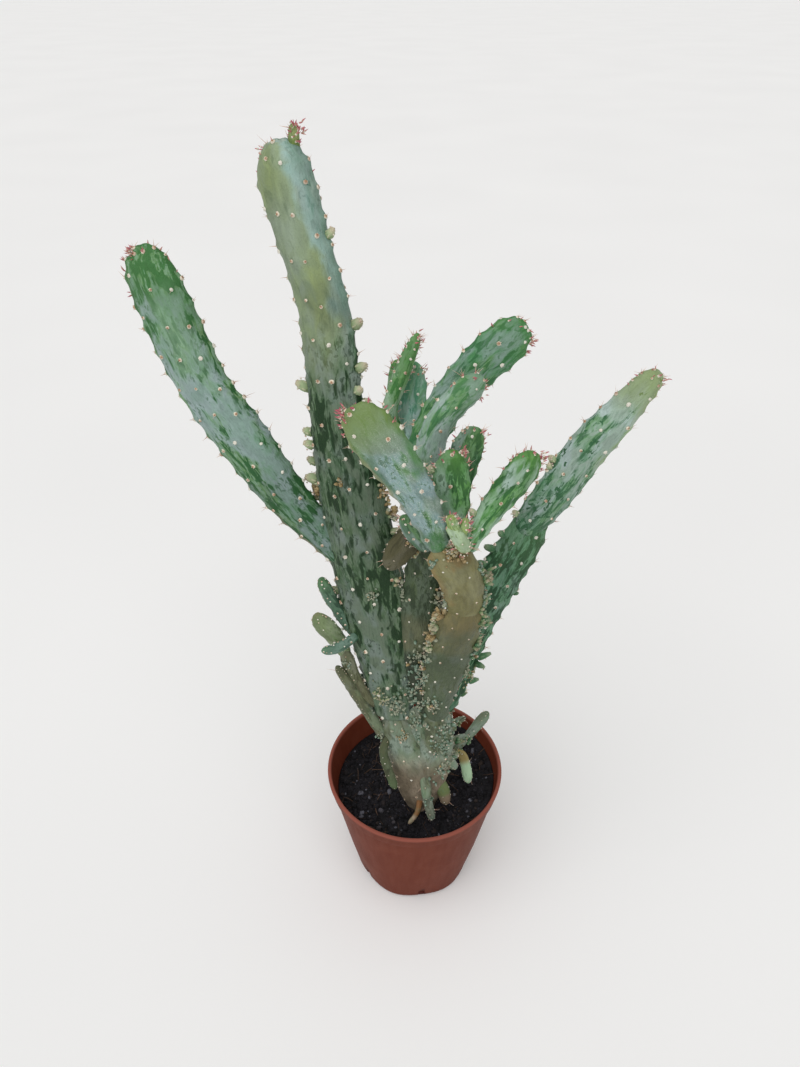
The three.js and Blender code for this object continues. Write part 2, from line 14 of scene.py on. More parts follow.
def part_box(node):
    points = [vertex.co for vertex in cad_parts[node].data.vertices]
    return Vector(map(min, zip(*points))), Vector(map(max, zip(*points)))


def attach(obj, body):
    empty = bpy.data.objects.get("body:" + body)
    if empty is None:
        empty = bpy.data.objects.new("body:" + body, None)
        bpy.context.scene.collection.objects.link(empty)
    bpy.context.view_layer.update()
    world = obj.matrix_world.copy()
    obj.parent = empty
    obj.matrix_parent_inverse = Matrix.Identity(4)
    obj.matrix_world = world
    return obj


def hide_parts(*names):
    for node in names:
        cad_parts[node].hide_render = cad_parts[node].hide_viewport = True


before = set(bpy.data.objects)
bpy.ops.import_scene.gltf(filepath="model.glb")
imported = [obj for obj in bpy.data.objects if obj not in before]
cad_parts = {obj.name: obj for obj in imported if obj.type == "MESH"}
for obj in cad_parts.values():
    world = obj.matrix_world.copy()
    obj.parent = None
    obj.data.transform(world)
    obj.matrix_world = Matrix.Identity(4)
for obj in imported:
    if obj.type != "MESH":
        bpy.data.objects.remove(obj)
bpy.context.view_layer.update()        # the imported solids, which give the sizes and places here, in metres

bl_info = {
    "name": "Potted Paddle Cactus",
    "version": (1, 0, 0),
    "blender": (4, 5, 0),
    "location": "View3D > Sidebar > Cactus",
    "description": "Skin, areoles, spines, buds, soil and pot for the solids of a potted paddle cactus",
    "category": "Add Mesh",
}

MM = 0.001
BODY = "root"

# The camera, where the photograph was taken from: in front of the plant and above it.
PHOTO_HEIGHT_PX = 1067
FOCAL_LENGTH_PX = 801
SENSOR = 36
CAMERA_PLACE = (0.001, -0.313, 0.482)
CAMERA_PITCH = 54.3
CAMERA_YAW = 1.8

# The stage: a wide floor, an even pale world and one soft sun.
FLOOR_RADIUS = 30
FLOOR_DROP = 0.2 * MM
WORLD_STRENGTH = 0.5
SUN_PLACE = (-0.9, -1.3, 1.9)
SUN_TURN = (32, -14, 0)
SUN_STRENGTH = 1.55
SUN_SPREAD = 70

# Pot and soil, beyond what the solids give. LIP_SECTION is how far in from the rim and down from the top
# each point of the lip is, in millimetres. HUB is the small ring that closes a turned body's middle.
# Drains are turned by DRAIN_TURN degrees from the front, and mud lies round them, within about
# MUD_DEGREES and up to MUD_HEIGHT. Inside, under a line that widens by INSIDE_SLOPE, the pot is painted
# darker, as painted shade.
WALL = 1.5 * MM
COLLAR_HEIGHT = 9 * MM
COLLAR_STEP = 0.9 * MM
RIM_FLARE = 2.4 * MM
BASE_RADIUS = 36.4 * MM
BASE_CHAMFER = 2.2 * MM
FLUTE_DEPTH = 1.1 * MM
FLUTE_HEIGHT = 30 * MM
DRAIN_COUNT = 6
DRAIN_WIDTH = 4 * MM
DRAIN_HEIGHT = 9 * MM
DRAIN_TURN = 9
SOIL_LEVEL = 68 * MM
SOIL_FLOOR = 2.3 * MM
SOIL_GAP = 0.3 * MM
POT_FLOOR = 2 * MM
WALL_MIDDLE = 50 * MM
HUB = 0.5 * MM
LIP_SECTION = (
    (0.55, 2.9), (0.4, 2.4), (0.06, 1.7), (0, 1.1), (0.2, 0.4), (0.7, 0.04), (1.2, 0), (1.7, 0.12),
    (2.1, 0.6), (2.25, 1.4))
INSIDE_SLOPE = 0.1582
MUD_DEGREES = 6
MUD_HEIGHT = 24 * MM

# A stem's section is an ellipse drawn out a little to its margins. Its root and tip are rounded off over
# these shares of its width there, and its route is measured in ROUTE_MARKS steps.
SECTION_POWER = 1.85
ROOT_ROUNDING = 0.25
TIP_ROUNDING = 0.6
ROUTE_MARKS = 200

# The cage of a stem's skin. Smoothing draws it in, so it starts larger by CAGE_SWELL. END_CROWDING is how
# far its rings draw together towards the ends, and CAP_SHARE where in the rounding the end rings lie.
CAGE_SIDES = 16
CAGE_SWELL = 1.026
END_CROWDING = 0.6
CAP_SHARE = 0.03

# Where areoles sit: the distance between them on margins and faces, and how wide a row on a face is. An
# angle is on a margin while its sine is under MARGIN_SINE. They crowd within TIP_CROWD of the tip, the
# cushions are smaller within SMALL_TIP of it, rows end TIP_GAP before it, and four stand CROWN_DEPTH
# under it. A spot keeps OPEN_GAP from other stems and SOIL_GAP_ABOVE from the soil, and snaps to the
# skin from no farther than FARTHEST_SNAP. A cushion sinks in by CUSHION_SINK of its size.
MARGIN_STEP = 8.5 * MM
FACE_STEP = 13 * MM
FACE_ROW_WIDTH = 10 * MM
MARGIN_SINE = 0.3
TIP_CROWD = 14 * MM
SMALL_TIP = 12 * MM
TIP_GAP = 0.6 * MM
CROWN_DEPTH = 1.2 * MM
OPEN_GAP = 0.8 * MM
SOIL_GAP_ABOVE = 3 * MM
FARTHEST_SNAP = 4 * MM
CUSHION_SINK = 0.18

# A copy's turn about its own axis, in radians. Listed buds over CLUMP_RADIUS are clumps, clustered ones
# over LONG_BUD, in millimetres, are tall, and the wool on clustered ones is of the kind CLUSTER_WOOL.
ANY_SPIN = 6.3
CLUMP_RADIUS = 2.9 * MM
LONG_BUD = 3.3
CLUSTER_WOOL = 2.0

# Stem segments, in millimetres. Points run from root to tip as x, y, z and the width there. face is the way
# that the flat side looks, in degrees from -Y towards +X. A bud is its place along the stem, its angle round
# it (0 and 180 are the margins, 90 the front), its length and its radius.
STEMS = [
    {"node": "trunk_base", "thick": 20, "face": -10,
     "points": [
         (4, -12, 34, 9), (4, -15, 66, 15), (3, -18, 82, 23), (1, -19, 98, 27), (-6, -19, 130, 22),
         (-10, -18, 154, 21)]},
    {"node": "trunk_base", "thick": 19, "face": 10,
     "points": [(6, -19, 78, 16), (10, -20, 106, 20), (12, -21, 135, 19), (11, -25, 161, 15)],
     "buds": [
         (0.45, 70, 5, 2.2), (0.55, 30, 5, 2.4), (0.62, 100, 4, 2), (0.7, 60, 5, 2.3),
         (0.78, 110, 4, 2.2), (0.85, 20, 5, 2.5), (0.9, 80, 5, 2.2), (0.93, 140, 4, 2.2)]},
    {"node": "trunk_base", "thick": 8, "shoot": True,
     "points": [(9, -19, 96, 7), (30, 5, 103, 6), (38.5, 10, 113, 7.6), (43.3, 13, 119, 7.6)]},
    {"node": "trunk_base", "thick": 10, "shoot": True,
     "points": [(10, -18, 106, 8), (25, -1, 111, 8), (32, 1, 108, 7)]},
    {"node": "trunk_base", "thick": 9, "shoot": True,
     "points": [(11, -18, 116, 7), (21, 2, 119, 7), (30, 6, 121, 6)]},
    {"node": "trunk_base", "thick": 9, "shoot": True, "kind": 3,
     "points": [(12, -18, 104, 5.4), (26, -5, 106, 5.4), (30, -8, 96, 6), (32, -14, 86, 6.2)]},
    {"node": "trunk_base", "thick": 8, "shoot": True,
     "points": [(11, -17, 118, 5), (18, -18, 113, 7), (24, -20, 107, 5)]},
    {"node": "trunk_base", "thick": 10, "shoot": True, "kind": 5,
     "points": [(9, -20, 104, 6), (16, -22, 93, 8), (19, -25, 81, 6)]},
    {"node": "trunk_base", "thick": 7, "shoot": True,
     "points": [(6, -22, 98, 5.5), (8, -29, 89, 5.5), (11, -34, 78, 4.6)]},
    {"node": "trunk_base", "thick": 8, "shoot": True,
     "points": [(5, -22, 108, 5), (7, -30, 101, 6), (7, -31, 94, 5)]},
    {"node": "trunk_base", "thick": 9, "shoot": True,
     "points": [(6, -18, 112, 9), (2, -21, 130, 11), (1, -22, 146, 11), (1.5, -23, 162, 9)]},
    {"node": "trunk_base", "thick": 4, "shoot": True, "kind": 2, "look": {"felt": 0.0, "spiny": 0.0},
     "points": [(4, -22, 86, 4), (2, -30, 79, 3), (-3, -34, 74, 2.6)]},
    {"node": "main_stem", "thick": 20, "face": -18,
     "points": [
         (-11.5, -17, 147, 22), (-16, -16, 186, 29), (-20, -14, 217, 35), (-25, -11, 249, 36),
         (-30, -8, 281, 32), (-35, -4, 315, 26.5), (-37.5, 0, 341, 23.5), (-40, 4, 365, 22),
         (-46.6, 8, 390, 21.8), (-52.8, 12, 414, 22.8), (-55.3, 14, 427, 20)],
     "buds": [
         (0.87, 0, 5, 2.2), (0.75, 0, 6, 2.5), (0.69, 0, 6, 2.6), (0.66, 20, 5, 2.3), (0.64, 0, 5, 2),
         (0.66, 180, 8, 2.8), (0.59, 180, 6, 2.5), (0.57, 170, 6, 2.3), (0.54, 180, 6, 2.3),
         (0.51, 178, 8, 2.9), (0.48, 180, 9, 4), (0.44, 165, 6, 2.4), (0.29, 180, 5, 2),
         (0.25, 180, 6, 2), (0.42, 5, 7, 4), (0.45, 0, 5, 3), (0.39, 10, 6, 3.2), (0.33, 20, 6, 3)]},
    {"node": "main_stem", "thick": 5, "shoot": True, "kind": 4,
     "look": {"leafy": 1.0, "blush": 0.6, "felt": 0.6, "crown": 40, "spiny": 0.3},
     "points": [(-49.5, 11, 416, 4), (-48.6, 11.5, 425, 4.2), (-48.3, 12, 433, 4)]},
    {"node": "left_pad", "thick": 14, "face": -6,
     "points": [
         (-36, -9, 247, 10), (-50, -5, 265, 19), (-61.5, -3, 279, 22.5), (-80.5, 2, 307.8, 26),
         (-94, 4, 330, 24.5), (-104, 6, 359, 24.5), (-109, 6, 378, 22.5), (-110, 6, 390, 17)]},
    {"node": "right_pad_lower", "thick": 14, "face": 10,
     "points": [
         (11, -15, 126, 12), (13.5, -8, 140, 14), (19.5, -4, 163, 20), (27.5, 2, 189.5, 22),
         (40, 8, 220.5, 24), (51, 12, 243, 23), (57, 15, 261, 18)],
     "buds": [
         (0.38, 0, 10, 2), (0.36, 20, 8, 2), (0.27, 0, 8, 1.8), (0.2, 0, 5, 1.4), (0.75, 180, 5, 2.2),
         (0.82, 180, 7, 2.4), (0.89, 180, 4, 2), (0.68, 0, 4, 1.4)]},
    {"node": "right_pad_upper", "thick": 13, "face": 12, "root": 0.9, "sink": 5,
     "points": [
         (52.5, 13, 252, 17), (67, 16, 273.8, 21.5), (79.5, 20, 294.5, 22), (92.6, 22, 312.5, 18.2),
         (103.2, 24, 326.8, 12.5), (107, 24, 331.5, 9.5)],
     "buds": [(0.1, 180, 4, 2), (0.42, 180, 5, 2), (0.38, 175, 4, 1.8)]},
    {"node": "front_pad_lower", "thick": 14, "face": 8,
     "points": [
         (11, -25, 154, 10), (13, -30, 189, 19), (17, -34, 217, 22), (20, -38, 240, 20),
         (20, -39, 247, 17)],
     "buds": [
         (0.9, 175, 5, 2.3), (0.8, 180, 5, 2.3), (0.7, 178, 4, 2.2), (0.62, 5, 5, 2.4),
         (0.72, 0, 6, 2.5), (0.86, 0, 6, 2.6), (0.94, 5, 5, 2.2), (0.5, 170, 4, 2),
         (0.3, 160, 4, 2.2), (0.2, 130, 4, 2.2)]},
    {"node": "front_pad_upper", "thick": 14, "face": 6, "root": 0.9, "sink": 7,
     "points": [
         (20.5, -38, 240, 15.5), (21.5, -40, 251, 17), (19.5, -42, 262, 18.7), (16, -43.5, 271, 19.6),
         (12.3, -44.5, 279, 19.3), (9.6, -45, 285, 16.6)],
     "buds": [
         (0.3, 0, 5, 2.4), (0.48, 0, 5, 2.4), (0.6, 5, 6, 2.6), (0.1, 180, 4, 2.2),
         (0.96, 60, 4, 2.3)]},
    {"node": "back_stem", "thick": 12, "face": -10,
     "points": [
         (7, -23, 156, 10), (3, -22, 180, 15), (0, -21, 201, 17), (1, -22, 222, 18),
         (3, -22, 247, 18), (4, -22, 267, 16), (4, -21, 286, 13)]},
    {"node": "centre_pad", "thick": 12, "face": -4,
     "points": [
         (9, -45, 279.5, 7), (4.8, -48, 297, 13), (-2.2, -50, 314, 15.8), (-13.2, -52, 333, 20.2),
         (-20, -53, 345, 18.5), (-24, -53, 352, 15)]},
    {"node": "centre_small_pad", "thick": 6, "face": -20,
     "points": [(5, -43, 279, 6), (-1.7, -44, 288.5, 8.3), (-5.8, -45, 299, 6.5)]},
    {"node": "bud_sprout", "thick": 5.4, "shoot": True,
     "points": [(12.4, -50, 298.5, 5), (17.1, -50, 290.3, 6.2), (20.5, -48.5, 283, 5.6)]},
    {"node": "bud_sprout", "thick": 4.2, "shoot": True,
     "points": [(15.4, -50, 293.7, 3.8), (14, -51, 298, 4.4), (12.5, -52, 304, 4.6)]},
    {"node": "bud_sprout", "thick": 3.6, "shoot": True,
     "points": [(17.6, -49, 291, 3.4), (18.6, -49, 296, 3.8), (19.1, -49, 300.5, 3.9)]},
    {"node": "right_sprout", "thick": 8, "face": 8,
     "points": [
         (19, -43, 277, 6.5), (27, -40, 293, 10), (35, -36, 304, 13.3), (43, -33, 315, 13.5),
         (46, -31, 321.5, 11)],
     "buds": [(0.25, 180, 5, 2), (0.35, 175, 4, 1.8)]},
    {"node": "middle_pad", "thick": 9,
     "points": [(16, -40, 277, 7), (14, -37, 302, 14), (13, -35, 313, 14.5), (13, -34, 323, 9)],
     "buds": [(0.8, 180, 4, 1.8)]},
    {"node": "middle_pad_behind", "thick": 9, "face": 10,
     "points": [(15, -35, 290, 7), (16, -26, 303, 13), (19, -23, 315, 14), (22.5, -20, 326, 10)]},
    {"node": "upper_pad_front", "thick": 9, "face": 22,
     "points": [
         (5, -25, 275, 7), (2, -23, 299, 9.5), (3.2, -20, 312, 12), (7.1, -16, 324.4, 13.2),
         (15.1, -11, 333.4, 13.2), (22.4, -8, 339.3, 12), (25.6, -6, 341.6, 9.4)]},
    {"node": "upper_pad_back", "thick": 12, "face": 10,
     "points": [
         (4, -18, 272, 8), (0, -10, 300, 15), (9, 0, 322, 17), (24, 8, 339, 20), (37, 14, 349, 21),
         (46, 18, 354, 16)]},
    {"node": "pale_pad", "thick": 9, "face": -15,
     "points": [(-1, -5, 302, 7), (-6, 2, 312, 14), (-5, 6, 323, 16), (-3, 8, 333, 12), (-2, 8, 341, 6)]},
    {"node": "narrow_pad", "thick": 6.5, "face": 30,
     "points": [
         (-7, 1, 307, 6), (-11.5, -2, 316, 7), (-13.6, -4.5, 325, 7), (-9.6, -3, 336, 7.8),
         (-6.3, -1, 345.6, 7), (-3.5, 0, 352.6, 5.4), (-1.5, 1, 357.4, 4)]},
    {"node": "narrow_pad", "thick": 4.4, "shoot": True,
     "points": [(-12.2, -2.5, 325, 4.5), (-12, 0, 331, 5.2), (-11, 2, 338, 5.5), (-9.8, 3.5, 344.7, 4.6)]},
    {"node": "brown_pad", "thick": 7, "face": -5,
     "points": [(4, -24, 280, 7), (-3, -27, 275, 12), (-9, -29, 267, 12), (-14, -30, 259, 7)],
     "buds": [(0.4, 90, 4, 2), (0.6, 200, 5, 2.4), (0.75, 190, 5, 2.2)]},
    {"node": "side_stalk", "thick": 9, "shoot": True,
     "points": [(-17, -17, 154, 5), (-25.5, -19, 163, 6.5), (-32.5, -19, 178, 6.5), (-36.5, -17, 196, 6)]},
    {"node": "side_pad", "thick": 9, "face": -5,
     "points": [
         (-35.5, -17, 190, 5.5), (-40.5, -15, 201, 9.5), (-46, -16, 211, 11), (-49.5, -17, 218.5, 8)]},
    {"node": "side_shoot_upper", "thick": 8, "shoot": True,
     "points": [(-31, -14, 203, 4.5), (-38.5, -12, 216, 5.8), (-44, -11, 228, 6), (-47, -11, 237.5, 5)]},
    {"node": "side_shoot_lower", "thick": 7, "shoot": True,
     "points": [(-29, -17, 207, 4), (-36, -22, 204, 5), (-42, -24, 202, 5), (-47, -24, 202, 5)]},
    {"node": "edge_shoot_up", "thick": 8, "face": -20,
     "points": [
         (-11, -19, 122, 5), (-17, -19, 132, 6), (-22, -19, 144, 6.3), (-28.5, -20, 160, 6),
         (-35, -21, 176, 5.4), (-40.5, -21, 188, 3.8)]},
    {"node": "edge_shoot_down", "thick": 5, "shoot": True,
     "points": [
         (-12, -19, 136, 4.4), (-17.5, -25, 131, 4.8), (-15, -28, 118, 5), (-10.6, -30.5, 101.5, 4.4)]},
]

# Clusters of young buds: stem, which one of that name, place along it, angle round it, spread in
# millimetres, how many, size in millimetres, and colour, from green at 0 through tan at 0.5 to frosty at 1.
BUD_CLUSTERS = [
    ("main_stem", 0, 0.06, 60, 5, 20, 2.4, 0.75), ("main_stem", 0, 0.08, 100, 5, 12, 2.2, 0.2),
    ("main_stem", 0, 0.1, 20, 5, 16, 2.4, 1.0), ("main_stem", 0, 0.17, 12, 5, 12, 2.2, 0.9),
    ("main_stem", 0, 0.31, 75, 2.5, 9, 2.2, 0.8), ("main_stem", 0, 0.52, 90, 1.2, 5, 2.2, 0.5),
    ("main_stem", 0, 0.5, 178, 3, 9, 2.8, 0.5), ("main_stem", 0, 0.46, 178, 2.5, 6, 2.4, 0.6),
    ("main_stem", 0, 0.09, 160, 3, 8, 2.2, 0.8), ("main_stem", 0, 0.49, 5, 3.5, 12, 2.6, 0.5),
    ("trunk_base", 1, 0.95, 80, 6, 22, 2.4, 0.9), ("trunk_base", 1, 0.7, 70, 6, 20, 2.4, 0.9),
    ("trunk_base", 1, 0.45, 60, 5, 16, 2.4, 0.8), ("trunk_base", 0, 0.88, 75, 4, 10, 2.2, 0.7),
    ("trunk_base", 0, 0.8, 140, 3, 6, 2.0, 0.8), ("trunk_base", 1, 0.25, 100, 4, 8, 2.2, 0.8),
    ("front_pad_lower", 0, 0.93, 172, 2, 6, 3.6, 0.5), ("front_pad_lower", 0, 0.84, 170, 2, 6, 3.6, 0.35),
    ("front_pad_lower", 0, 0.76, 168, 2, 6, 3.6, 0.62), ("front_pad_lower", 0, 0.67, 166, 2, 5, 3.0, 0.35),
    ("front_pad_lower", 0, 0.57, 162, 2, 5, 2.6, 0.85), ("back_stem", 0, 0.55, 5, 4, 12, 3.0, 0.7),
    ("front_pad_lower", 0, 0.42, 160, 4, 10, 2.4, 0.8), ("front_pad_lower", 0, 0.22, 120, 5, 14, 2.4, 0.9),
    ("front_pad_lower", 0, 0.9, 4, 3, 8, 3.4, 0.15), ("front_pad_lower", 0, 0.86, 6, 3, 8, 2.2, 0.9),
    ("front_pad_lower", 0, 0.68, 4, 3, 8, 3.4, 0.15), ("front_pad_lower", 0, 0.64, 6, 3, 8, 2.2, 0.9),
    ("front_pad_lower", 0, 0.48, 8, 3, 7, 2.4, 0.7), ("front_pad_upper", 0, 0.24, 3, 3, 7, 2.8, 0.15),
    ("front_pad_upper", 0, 0.32, 5, 3, 7, 2.2, 0.9), ("front_pad_upper", 0, 0.5, 3, 3, 8, 3.6, 0.15),
    ("front_pad_upper", 0, 0.62, 5, 2.5, 6, 2.2, 0.9), ("front_pad_upper", 0, 0.9, 55, 3, 10, 2.8, 0.5),
    ("front_pad_upper", 0, 0.95, 80, 3, 14, 2.4, 0.55), ("front_pad_upper", 0, 0.92, 140, 2.5, 6, 2.4, 0.9),
    ("back_stem", 0, 0.22, 80, 8, 26, 3.0, 0.9), ("back_stem", 0, 0.34, 60, 7, 16, 2.8, 0.75),
    ("back_stem", 0, 0.08, 80, 7, 20, 3.0, 0.85), ("back_stem", 0, 0.5, 20, 3, 8, 2.2, 0.7),
    ("trunk_base", 5, 0.28, 90, 4, 16, 2.8, 0.12), ("trunk_base", 2, 0.38, 60, 5, 22, 3.0, 0.08),
    ("trunk_base", 3, 0.75, 60, 5, 14, 3.0, 0.1), ("trunk_base", 4, 0.7, 60, 4, 12, 2.8, 0.08),
    ("trunk_base", 8, 0.12, 90, 6, 20, 2.8, 0.98), ("trunk_base", 1, 0.3, 125, 6, 20, 2.8, 0.98),
    ("trunk_base", 10, 0.85, 90, 5, 18, 2.8, 0.85), ("trunk_base", 10, 0.5, 90, 4, 12, 2.4, 0.85),
    ("front_pad_upper", 0, 0.12, 184, 3, 9, 3.5, 0.5), ("front_pad_upper", 0, 0.3, 186, 3, 12, 2.6, 0.7),
    ("back_stem", 0, 0.66, 20, 4, 14, 3.0, 0.7), ("main_stem", 0, 0.06, 170, 5, 16, 2.8, 0.85),
    ("back_stem", 0, 0.62, 165, 3, 8, 2.0, 0.8), ("brown_pad", 0, 0.5, 185, 3, 8, 2.4, 0.5),
    ("right_pad_lower", 0, 0.3, 20, 4, 10, 2.2, 0.4), ("right_pad_lower", 0, 0.1, 40, 4, 12, 2.2, 0.8),
    ("side_stalk", 0, 0.1, 30, 3, 10, 2.0, 0.9), ("side_stalk", 0, 0.85, 90, 2.5, 8, 1.8, 0.9),
    ("side_shoot_upper", 0, 0.1, 90, 2.5, 8, 1.8, 0.8), ("edge_shoot_up", 0, 0.2, 60, 3, 7, 2.0, 0.8),
]

# The kinds of buds from fresh to frosty: number, and colours at the foot, middle and top.
BUD_COLOURS = [
    (0.0, "#3f6b48", "#507c56", "#8ea283"), (0.15, "#4a6847", "#70895e", "#b3a58c"),
    (0.3, "#71865a", "#9dae86", "#c4baa0"), (0.5, "#655639", "#8f7c54", "#b59f76"),
    (0.7, "#5f6f52", "#87907a", "#a8ac96"), (0.9, "#4c6347", "#6b8470", "#93a796"),
]

# The colours of each stem's flesh, as the photograph shows them: its pale ground and a bluer bloom on it,
# its streaks and their dark cores, and its tip. cover is the share of green from root to tip. A wash is a
# colour, from and to along the stem, from and to across it (-1 left, 1 right) and how much of it.
# level is painted shade: grey levels from root to tip that darken the flesh of stems standing low or in the
# shade of others.
PLAIN_LOOK = {
    "pale": "#7d9482", "bloom": "#98aca6", "streak": "#507054", "dark": "#34523a", "tip": "#5f8c52",
    "tip_from": 0.86, "tip_share": 0.35, "cover": (0.5, 0.5), "washes": [], "leafy": 0.0,
    "lime": "#628a4e", "bumps": 1.0, "spiny": 1.0, "felt": 1.0, "grain": 1.0, "soft": 0.12, "lines": 0.75,
    "dashes": 0.6, "veins": 0.22, "frost": 0.0, "green_margin": 0.0, "level": (1.0, 1.0),
    "bud_kinds": (0.3, 0.3), "tuft": 1, "spacing": 1.1, "blush": 0.6, "crown": 0, "grime": 0.0, "kinds": [],
}
